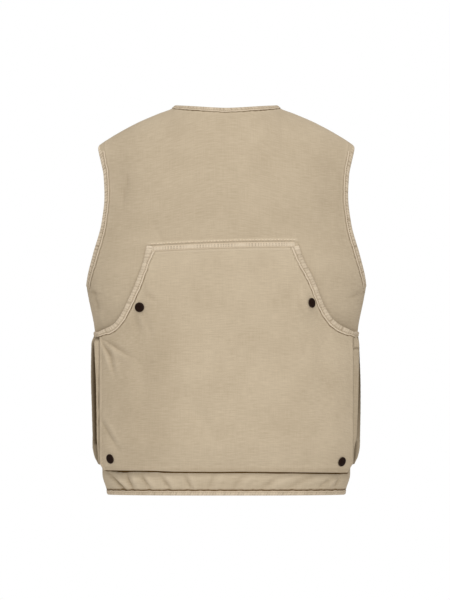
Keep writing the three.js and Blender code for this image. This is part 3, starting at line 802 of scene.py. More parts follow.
def turn_faces_out(piece):
    """The faces of a closed piece, all made to point outwards."""
    bpy.context.view_layer.objects.active = piece
    piece.select_set(True)
    bpy.ops.object.mode_set(mode="EDIT")
    bpy.ops.mesh.select_all(action="SELECT")
    bpy.ops.mesh.normals_make_consistent(inside=False)
    bpy.ops.object.mode_set(mode="OBJECT")
    piece.select_set(False)


def sew_tape(name, path, reach, seed, amount, material):
    """A folded tape swept along an edge, gathered by its stitches."""
    outline, shares, outer = tape_outline(reach)
    count, sides = len(path.run), len(outline)
    run = np.repeat(path.run[:, None], sides, axis=1)
    share = np.repeat(shares[None, :], count, axis=0)
    lift = pucker(run, share, path.pitch, seed, amount) * outer[None, :]
    inward = outline[:, 0][None, :] * path.narrow[:, None] + sway(run, seed) * np.clip(share, 0, 1)
    height = outline[:, 1][None, :] * path.press[:, None] + lift
    corners = path.places[:, None, :] + path.inward[:, None, :] * inward[..., None]
    corners = corners + path.normals[:, None, :] * height[..., None]
    faces = grid_faces(count, sides, False, wrap=True)
    last = (count - 1) * sides
    if path.closed:
        faces.extend((last + k, last + (k + 1) % sides, (k + 1) % sides, k) for k in range(sides))
    else:
        faces.append(tuple(range(sides)))
        faces.append(tuple(last + k for k in reversed(range(sides))))
    turn = np.cross(path.inward, path.normals)
    if (turn * path.tangents).sum(1).mean() < 0:
        faces = [tuple(reversed(face)) for face in faces]
    piece = place_mesh(name, corners.reshape(-1, 3), faces, material)
    turn_faces_out(piece)
    flat_map(piece, np.stack([run, inward], axis=-1))
    wear, seam = tape_tone(path, run, share, seed)
    point_values(piece, wear=np.clip(wear, 0, 1), seam=np.clip(outer[None, :] * seam, 0, 1))
    return piece


# Stitches: pitch, length and radius
STITCH = (STITCH_PITCH, STITCH_LENGTH, STITCH_RADIUS)
PALE_STITCH = (5.2, 3.3, 0.8)
STITCH_SIDES = 6
STITCH_RINGS = {
    "along": (-0.5, -0.36, 0.0, 0.36, 0.5),
    "rise": (-0.5, 0.5, 0.75, 0.5, -0.5),
    "thick": (0.7, 1.0, 1.0, 1.0, 0.7),
}


def stitch_shape():
    """One stitch, a short thread lying along X with both ends turned down into the cloth."""
    corners = []
    for along, rise, thick in zip(*STITCH_RINGS.values()):
        for k in range(STITCH_SIDES):
            turn = k * 2 * math.pi / STITCH_SIDES
            corners.append((along, math.cos(turn) * thick, rise + math.sin(turn) * thick))
    rings = len(STITCH_RINGS["along"])
    faces = grid_faces(rings, STITCH_SIDES, True, wrap=True)
    faces.append(tuple(range(STITCH_SIDES)))
    faces.append(tuple((rings - 1) * STITCH_SIDES + k for k in reversed(range(STITCH_SIDES))))
    return np.array(corners), faces


STITCH_CORNERS, STITCH_FACES = stitch_shape()


def sew_stitches(name, rows, material, size=STITCH):
    """Rows of stitches as one piece. A row is the places along it and the outward directions there."""
    pitch, length, radius = size
    corners, faces, along = [], [], []
    for places, normals in rows:
        steps = np.linalg.norm(np.diff(places, axis=0), axis=1)
        run = np.concatenate([[0], np.cumsum(steps)])
        at = (np.arange(int(run[-1] / pitch)) + 0.5) * pitch
        pick = lambda values, s: np.stack([np.interp(s, run, values[:, k]) for k in range(3)], axis=1)
        ahead = unit(pick(places, at + 0.5) - pick(places, at - 0.5))
        normal = pick(normals, at)
        normal = unit(normal - ahead * (normal * ahead).sum(1)[:, None])
        side = np.cross(normal, ahead)
        for m, a, s, n in zip(pick(places, at), ahead, side, normal):
            base = len(corners) * len(STITCH_CORNERS)
            lay = np.stack([a * length, s * radius, n * radius])
            corners.append(m + STITCH_CORNERS @ lay)
            faces.extend(tuple(base + k for k in face) for face in STITCH_FACES)
            along.append(STITCH_CORNERS[:, 0])
    piece = place_mesh(name, np.concatenate(corners), faces, material)
    point_values(piece, twist=np.concatenate(along))
    return piece


def tape_stitches(path, reach, seed, amount):
    """The row of stitches that holds a tape down."""
    share = np.full(len(path.run), STITCH_SHARE)
    height = tape_crown(share) * path.press + pucker(path.run, share, path.pitch, seed, amount)
    inward = STITCH_SHARE * reach * path.narrow + sway(path.run, seed) * STITCH_SHARE
    places = path.places + path.inward * inward[:, None] + path.normals * height[:, None]
    return places, path.normals


def surface_row(cloth_point, u, v, turn, height):
    """A row of places standing a little over a surface, with the outward directions."""
    along_u = cloth_point(u + SLOPE_STEP, v) - cloth_point(u - SLOPE_STEP, v)
    along_v = cloth_point(u, v + SLOPE_STEP) - cloth_point(u, v - SLOPE_STEP)
    normals = unit(np.cross(along_u, along_v) * turn)
    return cloth_point(u, v) + normals * height, normals


# Canvas: the size of its grain across and down in metres with its detail, and its share of the tone
GRAIN = {
    "slub": (0.018, 0.0016, 2.0),
    "warp": (0.0014, 0.030, 2.0),
    "cloud": (0.075, 0.060, 3.0),
    "grain": (0.0011, 0.0011, 1.0),
}
TONE = {"slub": 1.0, "warp": 0.5, "cloud": 0.9, "grain": 0.5}
WARP_PITCH = 0.0009
WEFT_PITCH = 0.0008
WEAVE_HEIGHT = 0.35
SLUB_HEIGHT = 0.9
GRAIN_HEIGHT = 0.35
WORN_BY_GRAIN = (0.8, 0.6)
DARK_BY_GRAIN = (0.6, 0.7)
ROUGH_BY_SLUB = (-0.16, 0.96)
RELIEF = 0.0003
RELIEF_STRENGTH = 0.5
GLOSS = 0.04
SHEEN = 0.05
SHEEN_ROUGHNESS = 0.6

# Colours
CANVAS_SHADE = (0.490, 0.403, 0.289)
CANVAS_LIGHT = (0.600, 0.504, 0.372)
CANVAS_WORN = (0.680, 0.579, 0.440)
# Dark seams and painted shade are mixed towards this colour
CANVAS_DARK = (0.105, 0.052, 0.008)
# The colour of the painted shade in the bellows folds
FOLD_SHADE = (0.054, 0.031, 0.010)
TAPE_SHADE = (0.520, 0.430, 0.315)
TAPE_LIGHT = (0.622, 0.524, 0.399)
TAPE_WORN = (0.745, 0.639, 0.500)
THREAD_LIGHT = (0.68, 0.57, 0.42)
THREAD_SHADE = (0.36, 0.27, 0.17)
PALE_LIGHT = (0.86, 0.75, 0.59)
PALE_SHADE = (0.45, 0.35, 0.23)
STUD_SHADE = (0.007, 0.0018, 0.0005)
STUD_LIGHT = (0.015, 0.0055, 0.0022)
STUD_RUBBED = (0.05, 0.030, 0.022)
FLOOR_PALE = (0.9, 0.9, 0.9)

# Thread and press-stud finishes
THREAD_TWIST = 40.0
THREAD_STRAND = (0.25, 0.3)
THREAD_ENDS = 1.6
THREAD_GRAIN = 90.0
THREAD_ROUGH = (0.3, 0.6)
THREAD_GLOSS = 0.2
STUD_GRAIN = 420.0
STUD_RELIEF = 0.0002
STUD_RELIEF_STRENGTH = 0.25
STUD_ROUGH = (0.25, 0.42)
STUD_GLOSS = 0.08


# Materials
def value_group(name, inputs, outputs):
    """An empty shader group with named sockets, its input node and its output node."""
    group = bpy.data.node_groups.new(name, "ShaderNodeTree")
    for socket, kind, default in inputs:
        made = group.interface.new_socket(socket, in_out="INPUT", socket_type=kind)
        if default is not None:
            made.default_value = default
    for socket, kind in outputs:
        group.interface.new_socket(socket, in_out="OUTPUT", socket_type=kind)
    return group, group.nodes.new("NodeGroupInput"), group.nodes.new("NodeGroupOutput")


def new_material(name):
    """A material with its node tree and its shader."""
    material = bpy.data.materials.new(name)
    material.use_nodes = True
    return material, material.node_tree, material.node_tree.nodes["Principled BSDF"]


def node(tree, kind, links=None, **settings):
    """A node with its settings, and its inputs linked or set by name or number."""
    made = tree.nodes.new(kind)
    for name, value in settings.items():
        setattr(made, name, value)
    for socket, value in (links or {}).items():
        if isinstance(value, bpy.types.NodeSocket):
            tree.links.new(value, made.inputs[socket])
        else:
            made.inputs[socket].default_value = value
    return made


def maths(tree, operation, a, b=0.0, c=0.0):
    return node(tree, "ShaderNodeMath", {0: a, 1: b, 2: c}, operation=operation).outputs[0]


def mixed(tree, factor, a, b):
    made = node(tree, "ShaderNodeMix", data_type="RGBA")
    for socket, value in (("Factor_Float", factor), ("A_Color", a), ("B_Color", b)):
        target = next(s for s in made.inputs if s.identifier == socket)
        if isinstance(value, bpy.types.NodeSocket):
            tree.links.new(value, target)
        else:
            target.default_value = value
    return next(s for s in made.outputs if s.identifier == "Result_Color")


def streaks(tree, flat, across, down, detail):
    """Noise drawn out along the threads; across and down are its grain in metres."""
    stretched = node(tree, "ShaderNodeMapping", {"Vector": flat, "Scale": (1 / across, 1 / down, 1)})
    grain = node(tree, "ShaderNodeTexNoise", {"Vector": stretched.outputs[0], "Scale": 1.0, "Detail": detail},
                 noise_dimensions="2D")
    return grain.outputs["Fac"]


def canvas_group():
    """Plain-woven canvas: weft slubs, thin warp streaks, wash clouds, worn ridges with painted light, and
    dark seams with painted shade.
    """
    colour, number, vector = "NodeSocketColor", "NodeSocketFloat", "NodeSocketVector"
    group, given, result = value_group(
        "washed_canvas",
        (
            ("Flat", vector, None),
            ("Wear", number, 0.0),
            ("Seam", number, 0.0),
            ("Shade", colour, (*CANVAS_SHADE, 1)),
            ("Light", colour, (*CANVAS_LIGHT, 1)),
            ("Worn", colour, (*CANVAS_WORN, 1)),
            ("Dark", colour, (*CANVAS_DARK, 1)),
            ("Slub", number, 1.0),
        ),
        (("Color", colour), ("Roughness", number), ("Height", number)),
    )
    flat = given.outputs["Flat"]
    noise = {name: streaks(group, flat, *sizes) for name, sizes in GRAIN.items()}
    slub, grain = noise["slub"], noise["grain"]
    parts = {
        name: maths(group, "MULTIPLY_ADD", noise[name], amount, -0.5 * amount)
        for name, amount in TONE.items()
    }
    tone = maths(group, "MULTIPLY", maths(group, "ADD", parts["slub"], parts["warp"]), given.outputs["Slub"])
    tone = maths(group, "ADD", maths(group, "ADD", tone, parts["cloud"]), parts["grain"])
    tone = maths(group, "ADD", tone, 0.5)
    base = mixed(group, tone, given.outputs["Shade"], given.outputs["Light"])
    worn_grain = maths(group, "MULTIPLY_ADD", grain, *WORN_BY_GRAIN)
    worn_by = maths(group, "MULTIPLY", given.outputs["Wear"], worn_grain)
    base = mixed(group, worn_by, base, given.outputs["Worn"])
    dark_grain = maths(group, "MULTIPLY_ADD", grain, *DARK_BY_GRAIN)
    dark_by = maths(group, "MULTIPLY", given.outputs["Seam"], dark_grain)
    base = mixed(group, dark_by, base, given.outputs["Dark"])
    split = node(group, "ShaderNodeSeparateXYZ", {0: flat})
    warp_wave = maths(group, "SINE", maths(group, "MULTIPLY", split.outputs[0], math.pi / WARP_PITCH))
    weft_wave = maths(group, "SINE", maths(group, "MULTIPLY", split.outputs[1], math.pi / WEFT_PITCH))
    weave = maths(group, "MULTIPLY", warp_wave, weft_wave)
    height = maths(group, "MULTIPLY_ADD", weave, WEAVE_HEIGHT, maths(group, "MULTIPLY", slub, SLUB_HEIGHT))
    height = maths(group, "MULTIPLY_ADD", grain, GRAIN_HEIGHT, height)
    group.links.new(base, result.inputs["Color"])
    group.links.new(maths(group, "MULTIPLY_ADD", slub, *ROUGH_BY_SLUB), result.inputs["Roughness"])
    group.links.new(height, result.inputs["Height"])
    return group


def cloth_material(name, group, shade, light, worn, dark, slub, sheen):
    """Canvas or tape, from the shared weave and the piece's own flat cut, its wear values with painted light
    and its seam values with painted shade.
    """
    material, tree, shader = new_material(name)
    woven = node(tree, "ShaderNodeGroup", node_tree=group)
    flat = node(tree, "ShaderNodeUVMap", uv_map="flat_cut")
    tree.links.new(flat.outputs["UV"], woven.inputs["Flat"])
    for attribute, socket in (("wear", "Wear"), ("seam", "Seam")):
        read = node(tree, "ShaderNodeAttribute", attribute_name=attribute)
        tree.links.new(read.outputs["Fac"], woven.inputs[socket])
    for socket, value in (("Shade", shade), ("Light", light), ("Worn", worn), ("Dark", dark)):
        woven.inputs[socket].default_value = (*value, 1)
    woven.inputs["Slub"].default_value = slub
    relief = node(tree, "ShaderNodeBump", {
        "Strength": RELIEF_STRENGTH, "Distance": RELIEF, "Height": woven.outputs["Height"],
    })
    tree.links.new(woven.outputs["Color"], shader.inputs["Base Color"])
    tree.links.new(woven.outputs["Roughness"], shader.inputs["Roughness"])
    tree.links.new(relief.outputs["Normal"], shader.inputs["Normal"])
    shader.inputs["Specular IOR Level"].default_value = GLOSS
    shader.inputs["Sheen Weight"].default_value = sheen
    shader.inputs["Sheen Roughness"].default_value = SHEEN_ROUGHNESS
    return material


def thread_material(name, light, shade):
    """Twisted sewing thread, with painted shade between its strands and where it goes into the cloth."""
    material, tree, shader = new_material(name)
    twist = node(tree, "ShaderNodeAttribute", attribute_name="twist").outputs["Fac"]
    wave = maths(tree, "SINE", maths(tree, "MULTIPLY", twist, THREAD_TWIST))
    strand = maths(tree, "MULTIPLY_ADD", wave, *THREAD_STRAND)
    ends = maths(tree, "MULTIPLY", maths(tree, "MULTIPLY", twist, twist), THREAD_ENDS)
    place = node(tree, "ShaderNodeTexCoord").outputs["Object"]
    uneven = node(tree, "ShaderNodeTexNoise", {"Vector": place, "Scale": THREAD_GRAIN}).outputs["Fac"]
    dark_by = maths(tree, "MULTIPLY", maths(tree, "ADD", strand, ends), uneven)
    tree.links.new(mixed(tree, dark_by, (*light, 1), (*shade, 1)), shader.inputs["Base Color"])
    tree.links.new(maths(tree, "MULTIPLY_ADD", uneven, *THREAD_ROUGH), shader.inputs["Roughness"])
    shader.inputs["Specular IOR Level"].default_value = THREAD_GLOSS
    return material


def stud_material(name):
    """Dark brown lacquered metal, mottled and a little rubbed."""
    material, tree, shader = new_material(name)
    place = node(tree, "ShaderNodeTexCoord").outputs["Object"]
    grain = node(tree, "ShaderNodeTexNoise", {"Vector": place, "Scale": STUD_GRAIN, "Detail": 3.0})
    mottle = grain.outputs["Fac"]
    rubbed = node(tree, "ShaderNodeAttribute", attribute_name="rubbed").outputs["Fac"]
    colour = mixed(tree, mottle, (*STUD_SHADE, 1), (*STUD_LIGHT, 1))
    colour = mixed(tree, maths(tree, "MULTIPLY", rubbed, mottle), colour, (*STUD_RUBBED, 1))
    relief = node(tree, "ShaderNodeBump", {
        "Strength": STUD_RELIEF_STRENGTH, "Distance": STUD_RELIEF, "Height": mottle,
    })
    tree.links.new(colour, shader.inputs["Base Color"])
    tree.links.new(maths(tree, "MULTIPLY_ADD", mottle, *STUD_ROUGH), shader.inputs["Roughness"])
    tree.links.new(relief.outputs["Normal"], shader.inputs["Normal"])
    shader.inputs["Specular IOR Level"].default_value = STUD_GLOSS
    return material


CANVAS_SLUB = 1.2
TAPE_SLUB = 0.6
weave = canvas_group()
canvas = cloth_material("sand_canvas", weave, CANVAS_SHADE, CANVAS_LIGHT, CANVAS_WORN, CANVAS_DARK,
                        CANVAS_SLUB, SHEEN)
# Canvas whose darkening goes towards the painted shade colour of the bellows folds
shaded_fold_canvas = cloth_material("shaded_fold_canvas", weave, CANVAS_SHADE, CANVAS_LIGHT, CANVAS_WORN, FOLD_SHADE,
                               CANVAS_SLUB, 0.0)
tape = cloth_material("sand_tape", weave, TAPE_SHADE, TAPE_LIGHT, TAPE_WORN, CANVAS_DARK, TAPE_SLUB, SHEEN)
thread = thread_material("sand_thread", THREAD_LIGHT, THREAD_SHADE)
pale_thread = thread_material("pale_thread", PALE_LIGHT, PALE_SHADE)
stud = stud_material("brown_stud")

# Grids of the back and the fronts, finer at their edges and along the pocket's top
ARM_EDGE = 0.93
FRONT_EDGE = FRONT_GAP / 2 / SHOULDER_HALF
back_columns = joined(even(-1, -ARM_EDGE, 18), even(-ARM_EDGE, ARM_EDGE, 208), even(ARM_EDGE, 1, 18))
back_rows = joined(even(0, 0.02, 18), even(0.02, 0.318, 44), even(0.318, 0.372, 36), even(0.372, 0.57, 40),
                   even(0.57, 0.925, 20), even(0.925, 1, 46))
back = Cloth(body_point(BACK, back_top), back_columns, back_rows, (0, -1, 0))
front_columns = joined(even(FRONT_EDGE, ARM_EDGE, 70), even(ARM_EDGE, 1, 18))
front_rows = joined(even(0, 0.02, 14), even(0.02, 0.94, 72), even(0.94, 1, 28))
front_right = Cloth(body_point(FRONT, front_top), front_columns, front_rows, (0, 1, 0))
front_left = Cloth(body_point(FRONT, front_top), -front_columns[::-1], front_rows, (0, 1, 0))
fronts = {-1: front_left, 1: front_right}

# Grids of the pocket and its bellows
POCKET_RIM = 194
pocket_columns = joined(even(-POCKET_HALF, -POCKET_RIM, 14), even(-POCKET_RIM, -POCKET_TOP_LEFT, 34),
                        even(-POCKET_TOP_LEFT, POCKET_TOP_RIGHT, 112), even(POCKET_TOP_RIGHT, POCKET_RIM, 36),
                        even(POCKET_RIM, POCKET_HALF, 14))
pocket_rows = joined(even(0, 0.06, 26), even(0.06, 0.94, 124), even(0.94, 1, 18), even(1, 2, 14))
pocket = Cloth(pocket_point, pocket_columns, pocket_rows, (0, -1, 0.2))
bellows_cloth = {
    hand: Cloth(gusset_point(hand), even(0, 1, 61), even(0, 1, 130), (hand, -0.3, 0)) for hand in (-1, 1)
}


# Edges of the neck, the armholes, the hem and the hand openings
def level(shares, v):
    return [(u, v) for u in shares]


def upright(u, rows):
    return [(u, v) for v in rows]


def inside(across, down):
    """A way into the cloth from an edge: across is a share of the way out, and down is added."""
    return lambda u, v: (u * across, v + down)


below = inside(1, 0.1)
above = inside(1, -0.1)
beside = inside(0.75, 0.12)
below_opening = inside(0.85, 0.35)
NECK_SHARE = NECK_HALF / SHOULDER_HALF
UNDERARM_SHARE = (UNDERARM_DROP - SHOULDER_DROP) / (HEM_DROP - SHOULDER_DROP)
ARM_ROWS_CROWD = 1.6
OPENING_START = 0.01
neck_front = even(FRONT_EDGE, NECK_SHARE, 160)
neck_edge = Edge([
    edge_part(front_right, level(neck_front, 0), below),
    edge_part(back, level(even(NECK_SHARE, -NECK_SHARE, 160), 0), below),
    edge_part(front_left, level(-neck_front[::-1], 0), below),
], smooth=24)
arm_rows = UNDERARM_SHARE * even(0, 1, 240) ** ARM_ROWS_CROWD
armhole_edges = {
    hand: Edge([
        edge_part(back, upright(hand, arm_rows), beside),
        edge_part(front, upright(hand, arm_rows[::-1]), beside),
    ], closed=True, smooth=24)
    for hand, front in fronts.items()
}
hem_front = even(FRONT_EDGE, 1, 240)
hem_edge = Edge([
    edge_part(front_right, level(hem_front, 1), above),
    edge_part(back, level(even(1, -1, 480), 1), above),
    edge_part(front_left, level(-hem_front[::-1], 1), above),
], smooth=16)
opening_outs = {
    -1: even(-POCKET_TOP_LEFT - OPENING_START, -POCKET_HALF, 260),
    1: even(POCKET_TOP_RIGHT + OPENING_START, POCKET_HALF, 260),
}
opening_edges = {
    hand: Edge([
        edge_part(pocket, level(outs, 0), below_opening),
        edge_part(bellows_cloth[hand], level(even(0.02, 1, 60), 0), below),
    ], smooth=14)
    for hand, outs in opening_outs.items()
}

# How the tape of each edge differs. A pair is a least and a most, or where a change starts and ends
# Nose light paints light on the left tape's nose and shade on the right one's
ARMHOLE_LOOK = {
    -1: {"widen": 0.38, "nose_light": 0.5, "crease": 1.5},
    1: {"widen": 0.27, "nose_light": -0.3, "crease": 1.1},
}
ARMHOLE_GROOVE = 1.2
ARMHOLE_PRESS = (0.55, 1)
ARMHOLE_TIP = (6, 45)
ARMHOLE_WIDEN_DROP = (165, 255)
ARMHOLE_LINE = (0.25, 0.57)
ARMHOLE_LINE_DROP = (110, 200)
NECK_LINE = (0.6, 1.3)
NECK_LINE_OUT = (15, 50)
NECK_RUBBED = -0.3
NECK_SHOULDER = 14
NECK_SHOULDER_NARROW = 0.18
NECK_SHOULDER_PRESS = 0.4
HEM_LINE = 1.0
HEM_LINE_WIDTH = 2.1
HEM_LINE_AT = 1.0
HEM_CREASE = 0.8
HEM_BROKEN = 0.3
HEM_PITCH = 4.6
HEM_RUBBED = -0.3
HEM_RUBBED_OUT = (60, 130)
OPENING_LOOK = {
    -1: {"mitre": 0.45, "crease": 0.8, "rubbed": 0},
    1: {"mitre": 0.2, "crease": 1.0, "rubbed": -0.12},
}
OPENING_PITCH = 5.0
OPENING_NARROW = (0.72, 1)
OPENING_NARROW_END = (62, 92)
OPENING_MITRE = (6, 30)
OPENING_RUBBED = 0.6
OPENING_RUBBED_START = (5, 8)
OPENING_LINE = (0.4, 1)
OPENING_LINE_START = (25, 60)

for hand, path in armhole_edges.items():
    look = ARMHOLE_LOOK[hand]
    drop = -path.places[:, 2]
    tip = np.hypot(path.places[:, 1], drop - SHOULDER_DROP)
    path.press = lerp(*ARMHOLE_PRESS, smoothstep(tip, *ARMHOLE_TIP))
    path.narrow = 1 + look["widen"] * smoothstep(drop, *ARMHOLE_WIDEN_DROP)
    path.line = lerp(*ARMHOLE_LINE, smoothstep(drop, *ARMHOLE_LINE_DROP))
    path.nose_light = look["nose_light"]
    path.crease = look["crease"]
    path.groove = ARMHOLE_GROOVE
at_shoulder = bump(neck_edge.places[:, 1], NECK_SHOULDER)
neck_edge.line = lerp(*NECK_LINE, smoothstep(np.abs(neck_edge.places[:, 0]), *NECK_LINE_OUT))
neck_edge.rubbed = np.full(len(neck_edge.run), NECK_RUBBED)
neck_edge.narrow = 1 - NECK_SHOULDER_NARROW * at_shoulder
neck_edge.press = 1 + NECK_SHOULDER_PRESS * at_shoulder
hem_edge.line = np.full(len(hem_edge.run), HEM_LINE)
hem_edge.line_width = HEM_LINE_WIDTH
hem_edge.line_at = HEM_LINE_AT
hem_edge.crease = HEM_CREASE
hem_edge.broken = HEM_BROKEN
hem_edge.rubbed = HEM_RUBBED * smoothstep(np.abs(hem_edge.places[:, 0]), *HEM_RUBBED_OUT)
hem_edge.pitch = HEM_PITCH
for hand, path in opening_edges.items():
    look = OPENING_LOOK[hand]
    start, end = path.run, path.length - path.run
    mitre = look["mitre"] * (1 - smoothstep(start, *OPENING_MITRE))
    path.narrow = lerp(*OPENING_NARROW, smoothstep(end, *OPENING_NARROW_END)) + mitre
    path.rubbed = OPENING_RUBBED * (1 - smoothstep(start, *OPENING_RUBBED_START)) + look["rubbed"]
    path.line = lerp(*OPENING_LINE, smoothstep(start, *OPENING_LINE_START))
    path.crease = look["crease"]
    path.pitch = OPENING_PITCH

# Tapes: edge, reach, seed and gathers
TAPES = {
    "neck_binding": (neck_edge, 9.2, 0.7, 0.30),
    "armhole_binding_left": (armhole_edges[-1], 10.2, 1.9, 0.7),
    "armhole_binding_right": (armhole_edges[1], 10.2, 3.1, 0.7),
    "hem_binding": (hem_edge, 6.4, 4.3, 0.25),
}
OPENING_TAPES = {
    -1: (opening_edges[-1], 10.0, 5.2, 0.7),
    1: (opening_edges[1], 10.0, 6.4, 0.7),
}
SIDES = {-1: "left", 1: "right"}

# Cloth beside a tape
CLOTH_GATHERS = 0.6
POCKET_CLOTH_GATHERS = 0.5
CLOTH_GATHER_PITCH = 7.5
CLOTH_GATHER_SLANT = 0.4
CLOTH_GATHER_FADE = 6.0
TAPE_HOLD = (-2.0, 2.5)
LINE_LEAST = 0.2
BESIDE_WEAR = 0.35
BESIDE_WEAR_AT = (3.0, 2.0)


def settle_to_tape(cloth, path, reach, seed, amount):
    """Cloth beside a tape: a dark seam along the sewn edge and small gathers that die out."""
    distance, along = path.near(cloth)
    reach = reach * np.interp(along, path.run, path.narrow)
    away = distance - reach - sway(along, seed)
    unbroken = 1 - path.broken * uneven("gaps in a line", along, seed)
    line = np.clip(unbroken, LINE_LEAST, 1) * np.interp(along, path.run, path.press)
    line = line * np.interp(along, path.run, path.line)
    cloth.darken(line * stripe(away, path.line_at, path.line_width))
    cloth.rub(BESIDE_WEAR * stripe(away, *BESIDE_WEAR_AT) * uneven("wear beside a tape", along, seed))
    gathers = amount * wobble(along + CLOTH_GATHER_SLANT * away, CLOTH_GATHER_PITCH, seed)
    gathers = gathers * np.exp(-np.maximum(away, 0) / CLOTH_GATHER_FADE)
    return gathers * smoothstep(distance, reach + TAPE_HOLD[0], reach + TAPE_HOLD[1])


# Back panel: the stitched row above the band, the pocket's shadow and the painted shade of the upper back and
# below the neck
ABOVE_BAND = 3.9
ABOVE_BAND_RISE = 0.7
ABOVE_BAND_WIDTH = 2.0
ABOVE_BAND_WEAR_WIDTH = 2.2
BAND_TOP_SHADOW = 0.12
BAND_TOP_SHADOW_WIDTH = 0.9
BAND_TOP_LIGHT = (0.95, 0.35)
BAND_TOP_LIGHT_WIDTH = 1.6
ROW_START = (-BAND_LEFT - 11, -BAND_LEFT - 7)
ROW_END = (BAND_RIGHT, BAND_RIGHT + 6)
SIDE_SEAM_DYE = 0.35
SIDE_SEAM_WIDTH = 1.0
POCKET_LINE = 2.5
POCKET_LINE_FADE = 0.7
POCKET_LINE_RIGHT = 0.5
POCKET_LINE_RIGHT_OUT = (100, 150)
POCKET_LINE_LEFT = 1.3
POCKET_LINE_LEFT_AT = (-166, 10)
POCKET_SHADOW_TOP = (-4, -2)
POCKET_SHADOW_DEPTH = (18, 34)
OPENING_SHADOW = 0.2
OPENING_SHADOW_AT = (TAPE_NOSE + 0.3, 1.3)
OPENING_SHADOW_END = (40, 80)
UPPER_SHADE = 0.045
UPPER_SHADE_START = (5, 55)
UPPER_SHADE_END = (200, 250)
NECK_SHADE = 0.04
NECK_SHADE_DROP_AT = (5, 40)
NECK_SHADE_OUT_AT = (0, 60)
HEM_HOLD = (HEM_DROP - 12, HEM_DROP - 6)


def side_seam(cloth):
    cloth.darken(SIDE_SEAM_DYE * bump(cloth.places[..., 1], SIDE_SEAM_WIDTH))


def row_above_band(out, drop):
    """The padded row above the band: its height, with the broken painted shadow line beneath it and painted
    light along that line, most in its gaps.
    """
    row = drop - (pocket_top_line(out) - BAND_ABOVE)
    along = span(out, ROW_START, ROW_END)
    back.rub(along * bump(row + ABOVE_BAND, ABOVE_BAND_WEAR_WIDTH) * uneven("row above the band", out))
    unbroken = np.clip(uneven("line above the band", out), 0, 1)
    # Painted shadow line under the row, and painted light along it, most in its gaps
    back.darken(along * BAND_TOP_SHADOW * unbroken * bump(row, BAND_TOP_SHADOW_WIDTH))
    back.rub(along * lerp(*BAND_TOP_LIGHT, unbroken) * bump(row, BAND_TOP_LIGHT_WIDTH))
    return along * ABOVE_BAND_RISE * bump(row + ABOVE_BAND, ABOVE_BAND_WIDTH)


def shadow_under_pocket(out, drop):
    """The dark line below the pocket's bottom edge, wider towards both its ends."""
    under = drop - pocket_bottom(out)
    line = POCKET_LINE + POCKET_LINE_RIGHT * smoothstep(out, *POCKET_LINE_RIGHT_OUT)
    line = line + POCKET_LINE_LEFT * stripe(out, *POCKET_LINE_LEFT_AT)
    shadow = smoothstep(under, *POCKET_SHADOW_TOP) * (1 - smoothstep(under - line, 0, POCKET_LINE_FADE))
    back.darken(shadow * smoothstep(-back.places[..., 1], *POCKET_SHADOW_DEPTH))


def shadow_beside_openings():
    for path in opening_edges.values():
        distance, along = path.near(back, (1, 0, 1))
        strength = smoothstep(path.length - along, *OPENING_SHADOW_END)
        strength = OPENING_SHADOW * strength * uneven("shadow of an opening", along)
        back.darken(strength * stripe(distance, *OPENING_SHADOW_AT))


def make_back():
    out, drop = back.out(), back.drop()
    height = soft_folds(BACK_FOLDS, out, drop)
    for path, reach, seed, amount in TAPES.values():
        height = height + settle_to_tape(back, path, reach, seed, CLOTH_GATHERS * amount)
    height = height + row_above_band(out, drop)
    shadow_under_pocket(out, drop)
    crease_tone(back, BACK_FOLDS)
    shadow_beside_openings()
    side_seam(back)
    below_shoulder = drop - shoulder_drop(np.abs(out))
    # Painted shade over the upper back and below the neck
    upper_shade = UPPER_SHADE * smoothstep(below_shoulder, *UPPER_SHADE_START)
    upper_shade = upper_shade * (1 - smoothstep(drop, *UPPER_SHADE_END))
    neck_shade = NECK_SHADE * stripe(drop, *NECK_SHADE_DROP_AT) * stripe(out, *NECK_SHADE_OUT_AT)
    back.seam = np.minimum(1, back.seam + upper_shade + neck_shade)
    back.raise_by(height * (1 - smoothstep(drop, *HEM_HOLD)))
    return sew_cloth("back_cloth", back, CANVAS, canvas)


back_cloth = make_back()
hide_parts("back_panel")

# Fronts and placket
PLACKET_STITCH_IN = 5
PLACKET_GROOVE = 0.35
PLACKET_GROOVE_WIDTH = 1.2
PLACKET_WEAR = 0.5
PLACKET_WEAR_WIDTH = 1.6
PLACKET_RIPPLE_AT = (2.5, 2)


def make_front(hand):
    cloth = fronts[hand]
    height = np.zeros(cloth.u.shape)
    for tape_name in ("neck_binding", "hem_binding", "armhole_binding_" + SIDES[hand]):
        path, reach, seed, amount = TAPES[tape_name]
        height = height + settle_to_tape(cloth, path, reach, seed, CLOTH_GATHERS * amount)
    side_seam(cloth)
    cloth.raise_by(height)
    return sew_cloth(f"front_{SIDES[hand]}_cloth", cloth, CANVAS, canvas)


def make_placket():
    edge = PLACKET_WIDTH / 2 - np.abs(placket.u)
    placket.rub(PLACKET_WEAR * bump(edge, PLACKET_WEAR_WIDTH))
    ripple = uneven("placket ripple", placket.drop()) * stripe(edge, *PLACKET_RIPPLE_AT)
    placket.raise_by(ripple - PLACKET_GROOVE * stripe(edge, PLACKET_STITCH_IN, PLACKET_GROOVE_WIDTH))
    return sew_cloth("placket_cloth", placket, CANVAS, canvas)


for hand, side in SIDES.items():
    make_front(hand)
    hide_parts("front_" + side)
placket = Cloth(placket_point, even(-PLACKET_WIDTH / 2, PLACKET_WIDTH / 2, 40), even(0, 1, 200), (0, 1, 0))
placket_cloth = make_placket()
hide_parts("front_placket")

# Bindings of the body
stitch_rows = {}
for name, (path, reach, seed, amount) in TAPES.items():
    sew_tape(name + "_tape", path, reach, seed, amount, tape)
    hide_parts(name)
    stitch_rows[name] = tape_stitches(path, reach, seed, amount)

